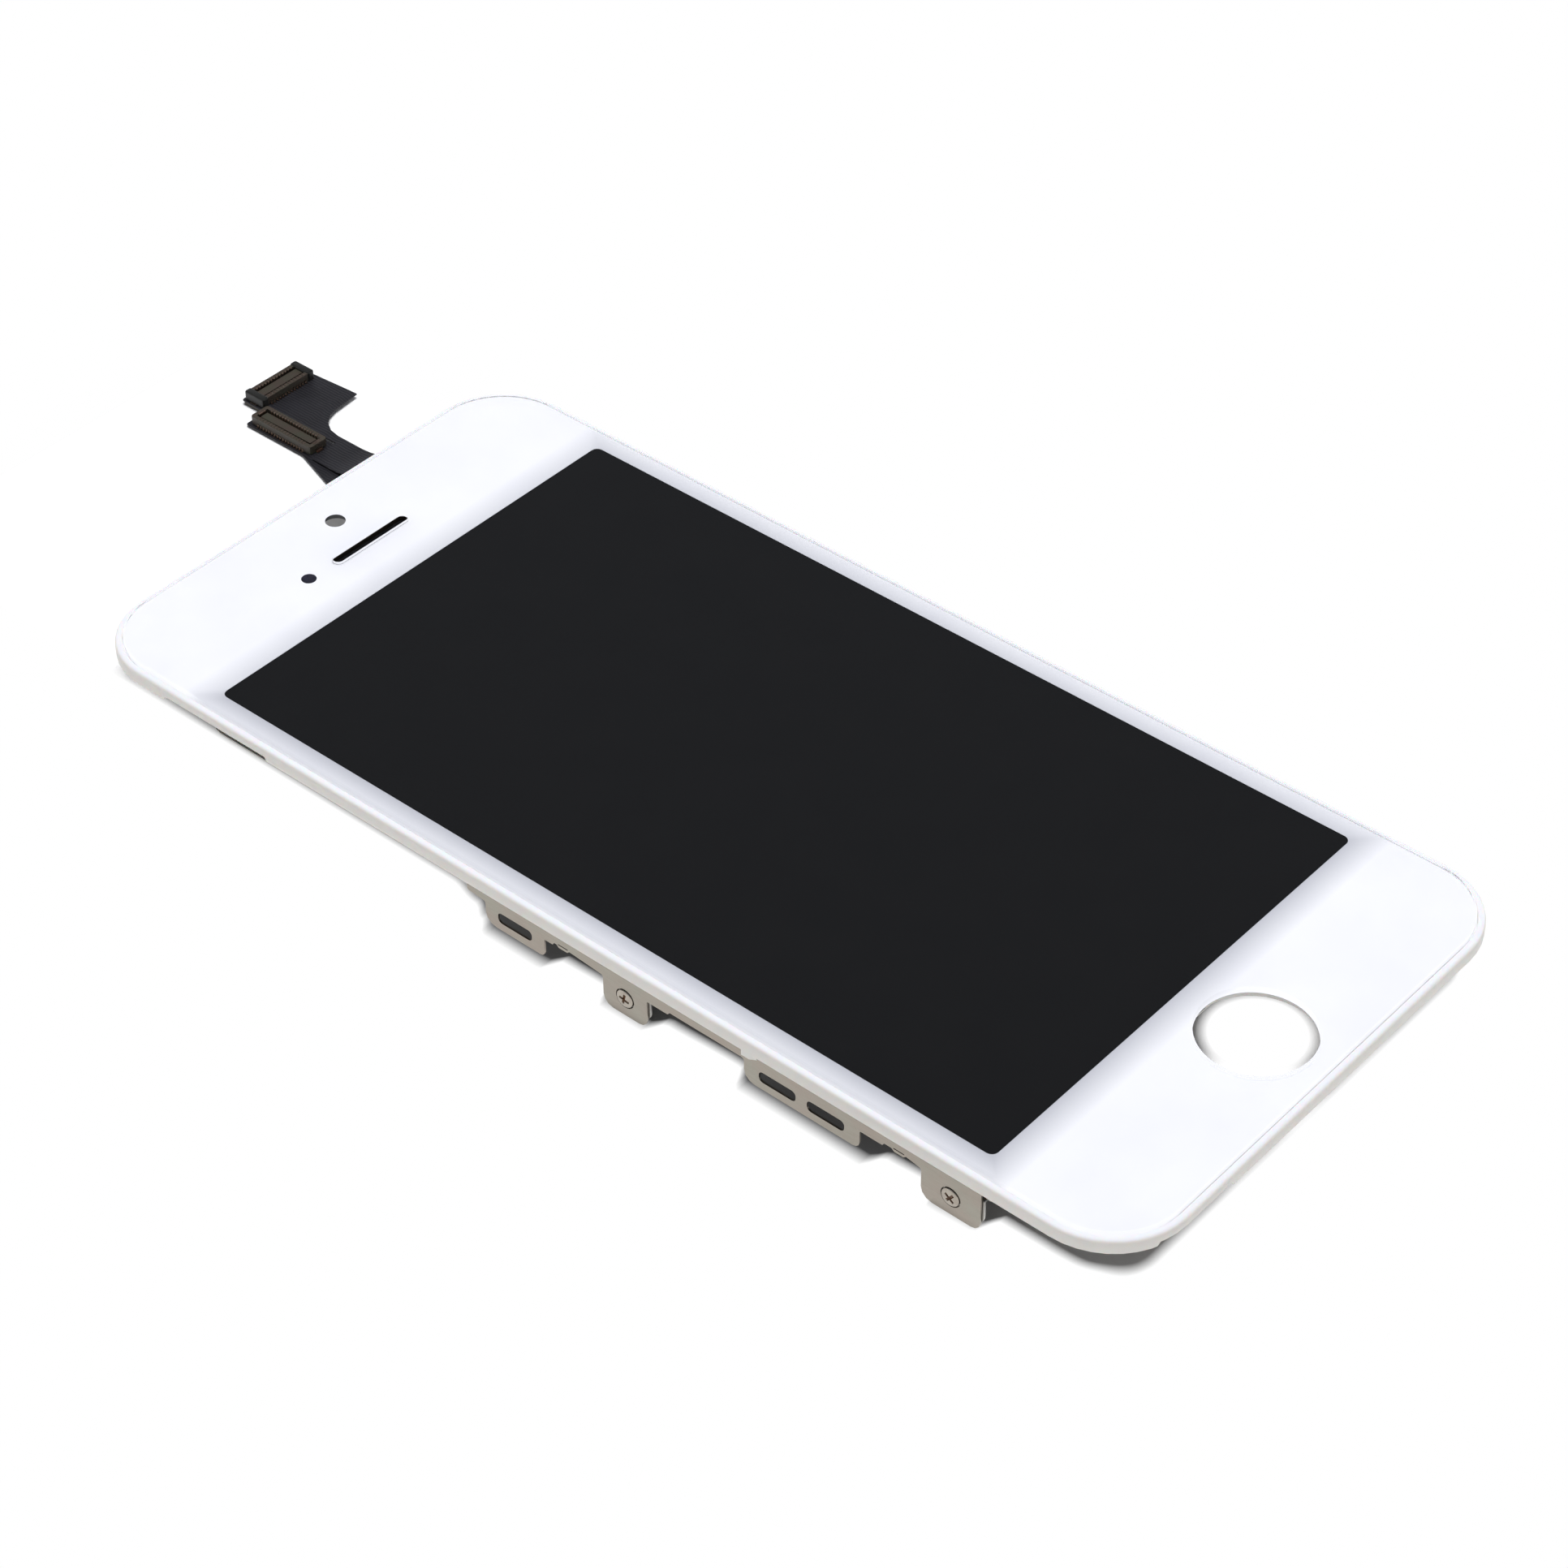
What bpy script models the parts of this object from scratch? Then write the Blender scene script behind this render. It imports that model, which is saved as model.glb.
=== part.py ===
"""Screen assembly of a 4 inch phone, lying face up on its side tabs.

The cover glass carries the touch layer and the LCD cell, the backlight sits behind the cell in a
stamped can, and a moulded rim holds the glass. Folded side brackets and a folded shield plate are
screwed together behind the rim. Two flexible circuits leave the top end of the assembly.

The origin is on the front face of the glass, at the centre of the display window. +X is the
right-hand side seen from the front, +Y runs towards the earpiece and +Z comes out of the glass.
"""

import math
from dataclasses import dataclass

import bmesh
import bpy
from mathutils import Vector

MM = 0.001

# Display window and cover glass
WINDOW_WIDTH = 50.3 * MM
WINDOW_LENGTH = 89.2 * MM
WINDOW_RADIUS = 0.7 * MM
GLASS_SIDE_BORDER = 2.0 * MM
GLASS_TOP_BORDER = 15.2 * MM
GLASS_BOTTOM_BORDER = 14.8 * MM
GLASS_THICKNESS = 0.7 * MM
GLASS_RADIUS = 6.9 * MM
GLASS_EDGE_ROUND = 0.18 * MM

# Openings in the glass and in the print behind it
HOME_RADIUS = 5.28 * MM
HOME_DROP = 7.77 * MM
EARPIECE_LENGTH = 9.65 * MM
EARPIECE_WIDTH = 1.20 * MM
EARPIECE_RISE = 6.0 * MM
CAMERA_RADIUS = 1.0 * MM
CAMERA_RISE = 4.85 * MM
SENSOR_RADIUS = 0.74 * MM
SENSOR_OFFSET = 8.0 * MM
SENSOR_RISE = 0.25 * MM
PRINT_RELIEF = 0.08 * MM

# Layers behind the glass, front to back, each a bond line apart
BOND_LINE = 0.02 * MM
PRINT_THICKNESS = 0.04 * MM
TOUCH_THICKNESS = 0.10 * MM
OPTICAL_ADHESIVE_THICKNESS = 0.12 * MM
POLARIZER_THICKNESS = 0.12 * MM
CELL_GLASS_THICKNESS = 0.25 * MM
FILM_THICKNESS = 0.06 * MM
LIGHT_GUIDE_THICKNESS = 0.40 * MM
CAN_THICKNESS = 0.15 * MM
SHIELD_GAP = 0.10 * MM
SHIELD_THICKNESS = 0.20 * MM

# How far each layer reaches past the display window
POLARIZER_MARGIN = 0.4 * MM
ADHESIVE_MARGIN = 0.5 * MM
CELL_MARGIN = 0.6 * MM
CELL_END_MARGIN = 0.8 * MM
TOUCH_MARGIN = 1.0 * MM
CELL_LEDGE = 2.7 * MM
TRAY_WALL = 0.75 * MM
TRAY_END_WALL = 0.40 * MM
FILM_CLEARANCE = 0.10 * MM
CAN_CLEARANCE = 0.05 * MM

# Driver chip and backlight lamps
CHIP_LENGTH = 18.0 * MM
CHIP_WIDTH = 0.9 * MM
CHIP_HEIGHT = 0.20 * MM
CHIP_SETBACK = 0.35 * MM
LED_COUNT = 6
LED_ROW_INSET = 1.35 * MM
LED_SHARE = 0.375
LED_WIDTH = 0.6 * MM
LED_STRIP_THICKNESS = 0.06 * MM
LED_STRIP_WIDTH = 1.0 * MM

# Moulded rim
RIM_GAP = 0.10 * MM
RIM_LIP = 0.70 * MM
RIM_DROP = 0.45 * MM
RIM_HEIGHT = 1.45 * MM
RIM_ROUND = 0.35 * MM
RIM_INNER_CHAMFER = 0.08 * MM
RIM_ADHESIVE_THICKNESS = 0.10 * MM
RIM_ADHESIVE_WIDTH = 0.35 * MM
RIM_ADHESIVE_INSET = 0.15 * MM
OPENING_CLEARANCE = 0.20 * MM
WEB_RELIEF = 0.06 * MM
WEB_THICKNESS = 0.54 * MM
WEB_ROOT = 0.35 * MM
RIB_WIDTH = 0.8 * MM
RIB_DEPTH = 0.6 * MM
RIB_START = 11.0 * MM
RIB_END = 24.5 * MM
SIDE_STEP_START = 36.2 * MM
SIDE_STEP_END = 49.2 * MM
HOME_STEP_START = 14.2 * MM
HOME_STEP_END = 23.0 * MM
STEP_DEPTH = 0.50 * MM
STEP_SLOPE = 0.6 * MM
TONGUE_Y = -21.2 * MM
TONGUE_LENGTH = 1.7 * MM
TONGUE_DEPTH = 0.55 * MM
TONGUE_THICKNESS = 0.12 * MM

# Seats behind the rim's webs
HOME_SEAT_GAP = 0.42 * MM
SEAT_FLANGE = 0.6 * MM
SEAT_CLEARANCE = 0.1 * MM
MESH_MARGIN = 0.9 * MM
MESH_OPENING_MARGIN = 0.45 * MM
CAMERA_BORE_GAP = 0.3 * MM
CAMERA_HOLDER_WALL = 1.3 * MM
CAMERA_HOLDER_DEPTH = 1.4 * MM
SENSOR_FILM_MARGIN = 0.5 * MM
SENSOR_HOLDER_WALL = 0.6 * MM
SENSOR_HOLDER_DEPTH = 1.1 * MM
BOSS_X = 20.5 * MM
BOSS_END_INSET = 5.6 * MM
BOSS_RADIUS = 1.7 * MM
BOSS_DEPTH = 1.4 * MM
INSERT_RADIUS = 0.95 * MM
INSERT_BORE = 0.55 * MM
INSERT_LENGTH = 1.2 * MM
INSERT_CLEARANCE = 0.03 * MM

# Folded side brackets
BRACKET_RECESS = 0.15 * MM
BRACKET_THICKNESS = 0.20 * MM
BRACKET_BEND = 0.22 * MM
BRACKET_TOP_Y = 11.2 * MM
BRACKET_BOTTOM_Y = -45.55 * MM
STRIP_DEPTH = 2.85 * MM
STRIP_STEP = 0.30 * MM
SCREW_TAB_DEPTH = 6.3 * MM
LATCH_TAB_DEPTH = 5.2 * MM
SLOT_DEPTH = 3.8 * MM
SLOT_LENGTH = 4.0 * MM
SLOT_HEIGHT = 1.15 * MM
SLOT_RADIUS = 0.45 * MM
DETENT_LENGTH = 1.5 * MM
DETENT_HEIGHT = 0.25 * MM
DETENT_SLIT_LENGTH = 1.15 * MM
DETENT_SLIT_WIDTH = 0.10 * MM

# Shield plate and its side ears
SHIELD_BOTTOM_Y = -46.0 * MM
SHIELD_TOP_Y = 45.0 * MM
SHIELD_SIDE_INSET = 0.15 * MM
SHIELD_CORNER = 2.0 * MM
SHIELD_BEND = 0.30 * MM
EAR_GAP = 0.05 * MM
EAR_OVERHANG = 0.2 * MM
EAR_DEPTH = 5.6 * MM
EAR_CORNER = 0.8 * MM
LOCATOR_RADIUS = 0.9 * MM
LOCATOR_INSET = 6.0 * MM

# Side screws and the nuts they run into
SCREW_DEPTH = 4.35 * MM
SCREW_HEAD_RADIUS = 0.94 * MM
SCREW_HEAD_HEIGHT = 0.40 * MM
SCREW_HEAD_CLEARANCE = 0.09 * MM
SCREW_DOME = 0.16 * MM
SCREW_SHANK_RADIUS = 0.60 * MM
SCREW_LENGTH = 1.50 * MM
SCREW_SEAT_GAP = 0.02 * MM
SCREW_HOLE_CLEARANCE = 0.10 * MM
RECESS_LENGTH = 1.10 * MM
RECESS_WIDTH = 0.24 * MM
RECESS_DEPTH = 0.22 * MM
NUT_RADIUS = 1.05 * MM
NUT_LENGTH = 1.15 * MM
NUT_CLEARANCE = 0.03 * MM

# Flexible circuits and their connectors
FLEX_THICKNESS = 0.12 * MM
TAIL_WIDTH = 5.4 * MM
DISPLAY_TAIL_X = 9.6 * MM
TOUCH_TAIL_X = 12.7 * MM
TOUCH_TAIL_RISE = 9.0 * MM
FLEX_SLOT_MARGIN = 0.4 * MM
FLEX_SLOT_LENGTH = 6.6 * MM
FLEX_BOND_LENGTH = 1.6 * MM
DISPLAY_NOTCH_LENGTH = 3.6 * MM
FLEX_LANDING = 20.9 * MM
FLEX_STEPS = 12
STIFFENER_THICKNESS = 0.16 * MM
STIFFENER_INSET = 0.1 * MM
FLEX_STACK_GAP = 0.10 * MM
FLEX_SOFT_CORNER = 1.0 * MM
FLEX_CORNER = 0.3 * MM
TAIL_RUN = 2.0 * MM
DISPLAY_NECK_LEFT = 1.0 * MM
DISPLAY_NECK_RIGHT = 3.4 * MM
DISPLAY_PAD_SHIFT = 1.0 * MM
DISPLAY_PAD_WIDTH = 3.3 * MM
PAD_RUN = 5.0 * MM
PAD_MARGIN = 0.6 * MM
PAD_TAPER = 1.0 * MM
TOUCH_NECK_LEFT = 2.2 * MM
TOUCH_NECK_RIGHT = 2.35 * MM
TOUCH_PAD_REACH = 8.8 * MM
TOUCH_PAD_TAPER = 0.6 * MM
TOUCH_PAD_INSET = 2.5 * MM
TOUCH_LEAD = 0.2 * MM
TOUCH_ELBOW_RUN = 8.6 * MM
TOUCH_ELBOW_RADIUS = 3.9 * MM
TOUCH_STEP = 0.3 * MM
TOUCH_LANDING = 2.0 * MM
PAD_GAP = 0.1 * MM
BACKING_SETBACK = 1.2 * MM
CONNECTOR_HEIGHT = 0.90 * MM
CONNECTOR_WALL = 0.45 * MM
CONNECTOR_FLOOR = 0.30 * MM
CONNECTOR_ISLAND = 0.50 * MM
CONNECTOR_ISLAND_DROP = 0.15 * MM
CONNECTOR_CORNER = 0.3 * MM
DISPLAY_CONNECTOR_SIZE = (2.4 * MM, 8.6 * MM)
TOUCH_CONNECTOR_SIZE = (7.0 * MM, 2.5 * MM)

CORNER_STEPS = 10
SMALL_STEPS = 4
CIRCLE_STEPS = 12
PILOT_STEPS = 6
BEND_STEPS = 3

# Places that follow from the sizes above
WINDOW_X = WINDOW_WIDTH / 2
WINDOW_Y = WINDOW_LENGTH / 2
GLASS_X = WINDOW_X + GLASS_SIDE_BORDER
GLASS_TOP_Y = WINDOW_Y + GLASS_TOP_BORDER
GLASS_BOTTOM_Y = -WINDOW_Y - GLASS_BOTTOM_BORDER
RIM_X = GLASS_X + RIM_GAP + RIM_LIP
RIM_TOP_Y = GLASS_TOP_Y + RIM_GAP + RIM_LIP
RIM_BOTTOM_Y = GLASS_BOTTOM_Y - RIM_GAP - RIM_LIP
RIM_RADIUS = GLASS_RADIUS + RIM_GAP + RIM_LIP
HOME_Y = -WINDOW_Y - HOME_DROP
EARPIECE_Y = WINDOW_Y + EARPIECE_RISE
CAMERA_Y = EARPIECE_Y + CAMERA_RISE
SENSOR_X = -SENSOR_OFFSET
SENSOR_Y = EARPIECE_Y + SENSOR_RISE


def layer_below(level, thickness):
    """Top and bottom heights of a layer bonded behind the level above it."""
    top = level - BOND_LINE
    return top, top - thickness


PRINT_TOP, PRINT_BOTTOM = layer_below(-GLASS_THICKNESS, PRINT_THICKNESS)
TOUCH_TOP, TOUCH_BOTTOM = layer_below(PRINT_BOTTOM, TOUCH_THICKNESS)
OCA_TOP, OCA_BOTTOM = layer_below(TOUCH_BOTTOM, OPTICAL_ADHESIVE_THICKNESS)
FRONT_POL_TOP, FRONT_POL_BOTTOM = layer_below(OCA_BOTTOM, POLARIZER_THICKNESS)
FILTER_TOP, FILTER_BOTTOM = layer_below(FRONT_POL_BOTTOM, CELL_GLASS_THICKNESS)
ARRAY_TOP, ARRAY_BOTTOM = layer_below(FILTER_BOTTOM, CELL_GLASS_THICKNESS)
REAR_POL_TOP, REAR_POL_BOTTOM = layer_below(ARRAY_BOTTOM, POLARIZER_THICKNESS)
PRISM_1_TOP, PRISM_1_BOTTOM = layer_below(REAR_POL_BOTTOM, FILM_THICKNESS)
PRISM_2_TOP, PRISM_2_BOTTOM = layer_below(PRISM_1_BOTTOM, FILM_THICKNESS)
DIFFUSER_TOP, DIFFUSER_BOTTOM = layer_below(PRISM_2_BOTTOM, FILM_THICKNESS)
GUIDE_TOP, GUIDE_BOTTOM = layer_below(DIFFUSER_BOTTOM, LIGHT_GUIDE_THICKNESS)
REFLECTOR_TOP, REFLECTOR_BOTTOM = layer_below(GUIDE_BOTTOM, FILM_THICKNESS)
CAN_FLOOR_TOP, CAN_BOTTOM = layer_below(REFLECTOR_BOTTOM, CAN_THICKNESS)
SHIELD_TOP = CAN_BOTTOM - SHIELD_GAP
SHIELD_BOTTOM = SHIELD_TOP - SHIELD_THICKNESS

CELL_X = WINDOW_X + CELL_MARGIN
CELL_Y = WINDOW_Y + CELL_END_MARGIN
ARRAY_TOP_Y = CELL_Y + CELL_LEDGE
FILM_X = CELL_X - POLARIZER_MARGIN
FILM_Y = CELL_Y - POLARIZER_MARGIN / 2
TRAY_INNER_X = FILM_X + FILM_CLEARANCE
TRAY_INNER_Y = FILM_Y + FILM_CLEARANCE
TRAY_X = TRAY_INNER_X + TRAY_WALL
TRAY_Y = TRAY_INNER_Y + TRAY_END_WALL
CAN_INNER_X = TRAY_X + CAN_CLEARANCE
CAN_INNER_Y = TRAY_Y + CAN_CLEARANCE
CAN_X = CAN_INNER_X + CAN_THICKNESS
LED_PITCH = 2 * (FILM_X - LED_ROW_INSET) / LED_COUNT
LED_LENGTH = LED_PITCH * LED_SHARE
CAN_Y = CAN_INNER_Y + CAN_THICKNESS
OPENING_X = CAN_X + OPENING_CLEARANCE
OPENING_BOTTOM_Y = -CAN_Y - OPENING_CLEARANCE
OPENING_TOP_Y = ARRAY_TOP_Y + OPENING_CLEARANCE

RIM_CREST = -RIM_DROP
RIM_BOTTOM = RIM_CREST - RIM_HEIGHT
RIM_ADHESIVE_TOP, RIM_ADHESIVE_BOTTOM = layer_below(PRINT_BOTTOM, RIM_ADHESIVE_THICKNESS)
LEDGE_TOP = RIM_ADHESIVE_BOTTOM - BOND_LINE
LEDGE_INSET = RIM_X - OPENING_X
WEB_TOP = LEDGE_TOP - WEB_RELIEF
WEB_BOTTOM = WEB_TOP - WEB_THICKNESS
SEAT_TOP = PRINT_BOTTOM - BOND_LINE
SEAT_BOTTOM = WEB_TOP + BOND_LINE

BRACKET_X = RIM_X - BRACKET_RECESS
BRACKET_TOP = RIM_BOTTOM - BOND_LINE
BRACKET_WALL_TOP = BRACKET_TOP - BRACKET_BEND
BRACKET_FLAT = BRACKET_X - BRACKET_BEND - OPENING_X
EAR_X = BRACKET_X - BRACKET_THICKNESS - EAR_GAP
NUT_X = EAR_X - SHIELD_THICKNESS - NUT_CLEARANCE
FLOOR = -SCREW_TAB_DEPTH

DISPLAY_PAD_TOP = FLOOR + STIFFENER_THICKNESS + BOND_LINE + FLEX_THICKNESS
TOUCH_PAD_TOP = DISPLAY_PAD_TOP + FLEX_STACK_GAP + FLEX_THICKNESS
FLEX_END_Y = WINDOW_Y + FLEX_LANDING


@dataclass(frozen=True)
class Tab:
    """One tab of a side bracket: its two ends along Y, its depth, and its rounded lower corners."""

    start: float
    end: float
    depth: float
    first_corner: float
    last_corner: float
    slots: int

    @property
    def centre(self):
        """Middle of the tab along Y."""
        return (self.start + self.end) / 2


TABS = (
    Tab(9.05 * MM, 2.10 * MM, LATCH_TAB_DEPTH, 1.3 * MM, 0.55 * MM, 1),
    Tab(-4.72 * MM, -9.70 * MM, SCREW_TAB_DEPTH, 1.1 * MM, 0.9 * MM, 0),
    Tab(-20.55 * MM, -33.0 * MM, LATCH_TAB_DEPTH, 1.5 * MM, 0.7 * MM, 2),
    Tab(-39.45 * MM, BRACKET_BOTTOM_Y, SCREW_TAB_DEPTH, 1.2 * MM, 0.9 * MM, 0),
)
SLOT_BRIDGE = 1.2 * MM
SCREW_TABS = tuple(tab for tab in TABS if tab.slots == 0)
DETENTS_Y = (-0.1 * MM, -37.1 * MM)
STEP_RUN = 2.4 * MM
LATCH_STEP_RUN = 1.0 * MM


def finish(name, red, green, blue, roughness, metallic=0.0, alpha=1.0):
    """A Principled material from 8-bit display colours."""
    material = bpy.data.materials.new(name)
    material.use_nodes = True
    shader = material.node_tree.nodes["Principled BSDF"]
    linear = [((value / 255 + 0.055) / 1.055) ** 2.4 for value in (red, green, blue)]
    shader.inputs["Base Color"].default_value = (*linear, 1.0)
    shader.inputs["Roughness"].default_value = roughness
    shader.inputs["Metallic"].default_value = metallic
    shader.inputs["Alpha"].default_value = alpha
    return material


def make_finishes():
    """Every material of the assembly, by its slot name."""
    return {
        "cover_glass": finish("cover_glass", 236, 240, 244, 0.05, alpha=0.35),
        "white_print": finish("white_print", 244, 246, 252, 0.45),
        "clear_film": finish("clear_film", 226, 230, 236, 0.2),
        "dark_polarizer": finish("dark_polarizer", 34, 35, 40, 0.25),
        "cell_glass": finish("cell_glass", 70, 78, 84, 0.1),
        "silicon": finish("silicon", 48, 50, 58, 0.3),
        "white_film": finish("white_film", 240, 240, 238, 0.5),
        "light_guide": finish("light_guide", 228, 236, 238, 0.1),
        "led_body": finish("led_body", 240, 226, 150, 0.4),
        "tray_plastic": finish("tray_plastic", 236, 236, 232, 0.5),
        "rim_plastic": finish("rim_plastic", 214, 213, 207, 0.38),
        "nickel_steel": finish("nickel_steel", 172, 164, 154, 0.38, metallic=1.0),
        "shield_steel": finish("shield_steel", 182, 180, 176, 0.34, metallic=1.0),
        "screw_steel": finish("screw_steel", 190, 180, 168, 0.3, metallic=1.0),
        "insert_brass": finish("insert_brass", 196, 160, 88, 0.3, metallic=1.0),
        "black_flex": finish("black_flex", 45, 46, 50, 0.55),
        "stiffener": finish("stiffener", 60, 58, 52, 0.6),
        "connector_plastic": finish("connector_plastic", 72, 66, 60, 0.5),
        "black_mesh": finish("black_mesh", 22, 22, 24, 0.7),
        "holder_plastic": finish("holder_plastic", 120, 122, 124, 0.6),
        "sensor_film": finish("sensor_film", 26, 24, 40, 0.2),
        "adhesive": finish("adhesive", 210, 212, 214, 0.6),
    }


def box(x0, y0, x1, y1, radius, steps=CORNER_STEPS, hole=False):
    """Outline maker for a box with round corners.

    radius is one value, or four for the corners in the order upper right, upper left, lower left
    and lower right. The maker is called with an inset, which draws an outer outline in and widens a
    hole, and gives the points anticlockwise.
    """
    radii = radius if isinstance(radius, tuple) else (radius,) * 4

    def points(inset=0.0):
        shift = -inset if hole else inset
        left, low, right, high = x0 + shift, y0 + shift, x1 - shift, y1 - shift
        found = []
        corners = ((right, high, 1, 1), (left, high, -1, 1), (left, low, -1, -1), (right, low, 1, -1))
        for quarter, (x, y, side, end) in enumerate(corners):
            bend = max(radii[quarter] - shift, BOND_LINE)
            for step in range(steps + 1):
                angle = math.pi / 2 * (quarter + step / steps)
                cx, cy = x - side * bend, y - end * bend
                found.append((cx + bend * math.cos(angle), cy + bend * math.sin(angle)))
        return found

    return points


def disc(x, y, radius, steps=CIRCLE_STEPS, hole=False):
    """Outline maker for a circle."""

    def points(inset=0.0):
        reach = radius + inset if hole else radius - inset
        angles = [math.tau * step / (4 * steps) for step in range(4 * steps)]
        return [(x + reach * math.cos(a), y + reach * math.sin(a)) for a in angles]

    return points


def stadium(x, y, length, width, steps=6, hole=False):
    """Outline maker for a slot with round ends, longer along X."""
    end = length / 2 - width / 2

    def points(inset=0.0):
        reach = width / 2 + inset if hole else width / 2 - inset
        found = []
        for side, start in ((1, -math.pi / 2), (-1, math.pi / 2)):
            for step in range(2 * steps + 1):
                angle = start + math.pi * step / (2 * steps)
                found.append((x + side * end + reach * math.cos(angle), y + reach * math.sin(angle)))
        return found

    return points


def filleted(corners, steps=SMALL_STEPS):
    """Outline maker for a polygon given as (x, y, corner radius)."""
    found = []
    count = len(corners)
    for index, (x, y, radius) in enumerate(corners):
        here = Vector((x, y))
        before = Vector(corners[index - 1][:2]) - here
        after = Vector(corners[(index + 1) % count][:2]) - here
        half = before.angle(after) / 2
        reach = radius / math.tan(half)
        limit = 0.49 * min(before.length, after.length)
        if radius <= 0 or half > math.radians(88):
            found.append((x, y))
            continue
        radius = radius * min(1.0, limit / reach)
        reach = min(reach, limit)
        start = here + before.normalized() * reach
        end = here + after.normalized() * reach
        centre = here + (before.normalized() + after.normalized()).normalized() * (radius / math.sin(half))
        first, last = start - centre, end - centre
        turn = math.atan2(first.x * last.y - first.y * last.x, first.dot(last))
        for step in range(steps + 1):
            angle = turn * step / steps
            cos, sin = math.cos(angle), math.sin(angle)
            found.append((centre.x + first.x * cos - first.y * sin, centre.y + first.x * sin + first.y * cos))

    return lambda inset=0.0: found


def new_object(name, form, material):
    """Turns a bmesh into a named object with its faces pointing out."""
    bmesh.ops.recalc_face_normals(form, faces=form.faces)
    if form.calc_volume(signed=True) < 0:
        bmesh.ops.reverse_faces(form, faces=form.faces)
    mesh = bpy.data.meshes.new(name)
    form.to_mesh(mesh)
    form.free()
    mesh.materials.append(material)
    mesh.shade_smooth()
    mesh.set_sharp_from_angle(angle=math.radians(35))
    made = bpy.data.objects.new(name, mesh)
    bpy.context.scene.collection.objects.link(made)
    return made


def filled_region(outlines):
    """Triangles that fill the first outline and leave the others open.

    The fill runs in millimetres, because its merge distance suits larger shapes.
    """
    form = bmesh.new()
    edges = []
    for outline in outlines:
        corners = [form.verts.new((x / MM, y / MM, 0.0)) for x, y in outline]
        edges += [form.edges.new(pair) for pair in zip(corners, corners[1:] + corners[:1])]
    form.verts.index_update()
    bmesh.ops.triangle_fill(form, use_beauty=True, edges=edges)
    triangles = [[vert.index for vert in face.verts] for face in form.faces]
    form.free()
    return triangles


def plate_form(outlines, levels):
    """A solid with flat ends whose walls follow the outlines through (height, inset) levels."""
    form = bmesh.new()
    rings = []
    for height, inset in levels:
        rings.append([[form.verts.new((x, y, height)) for x, y in maker(inset)] for maker in outlines])
    triangles = filled_region([maker(levels[0][1]) for maker in outlines])
    for ring in (rings[0], rings[-1]):
        corners = [vert for loop in ring for vert in loop]
        for triangle in triangles:
            form.faces.new([corners[index] for index in triangle])
    for lower, upper in zip(rings, rings[1:]):
        for low, high in zip(lower, upper):
            bridge(form, low, high)
    return form


def bridge(form, low, high):
    """A band of faces between two closed loops with as many points each."""
    for index, corner in enumerate(low):
        after = (index + 1) % len(low)
        form.faces.new((corner, low[after], high[after], high[index]))


def plate(name, outlines, bottom, top, material, round_over=0.0):
    """A flat piece cut to its outlines, with its upper edges rounded over if asked."""
    levels = [(bottom, 0.0)]
    if round_over:
        for step in range(BEND_STEPS + 1):
            angle = math.pi / 2 * step / BEND_STEPS
            levels.append((top - round_over * (1 - math.sin(angle)), round_over * (1 - math.cos(angle))))
    else:
        levels.append((top, 0.0))
    return new_object(name, plate_form(outlines, levels), material)


def lofted(name, loops, material, ring=False):
    """A skin through (outline, height) loops: capped at both ends, or closed into a ring."""
    form = bmesh.new()
    rings = [[form.verts.new((x, y, height)) for x, y in outline] for outline, height in loops]
    for low, high in zip(rings, rings[1:] + rings[:1] if ring else rings[1:]):
        bridge(form, low, high)
    if not ring:
        form.faces.new(rings[0])
        form.faces.new(rings[-1])
    return new_object(name, form, material)


def folded(name, outlines, thickness, stations, place, material):
    """Sheet metal or film: a flat blank, cut across at its bend stations and carried into place.

    The blank lies in (s, y) with its depth from 0 to the thickness, and place gives the point in
    space for each (s, y, depth).
    """
    form = plate_form(outlines, [(0.0, 0.0), (thickness, 0.0)])
    for across, station in stations:
        geometry = form.verts[:] + form.edges[:] + form.faces[:]
        along = Vector((1, 0, 0)) if across == "s" else Vector((0, 1, 0))
        bmesh.ops.bisect_plane(form, geom=geometry, dist=1e-8, plane_co=along * station, plane_no=along)
    for vert in form.verts:
        vert.co = place(*vert.co)
    return new_object(name, form, material)


def helper(made):
    """Marks an object as a shape that only a Boolean uses."""
    made.hide_render = True
    made.display_type = "WIRE"
    return made


def combine(target, operation, *helpers):
    """Adds one Boolean for each helper shape."""
    for shape in helpers:
        modifier = target.modifiers.new(shape.name, "BOOLEAN")
        modifier.operation = operation
        modifier.solver = "EXACT"
        modifier.object = helper(shape)


def round_pin(name, x, y, radius, bottom, top, material, steps=PILOT_STEPS):
    """An upright round bar."""
    return plate(name, [disc(x, y, radius, steps)], bottom, top, material)


def rim_outline(inset=0.0):
    """The rim's outer outline, drawn in by the inset."""
    return box(-RIM_X, RIM_BOTTOM_Y, RIM_X, RIM_TOP_Y, RIM_RADIUS)(inset)


def glass_outline(inset=0.0):
    """The cover glass outline, drawn in by the inset."""
    return box(-GLASS_X, GLASS_BOTTOM_Y, GLASS_X, GLASS_TOP_Y, GLASS_RADIUS)(inset)


def panel(half_x, half_y, radius=0.3 * MM):
    """Outline maker for a layer centred on the display window."""
    return box(-half_x, -half_y, half_x, half_y, radius, SMALL_STEPS)


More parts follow.
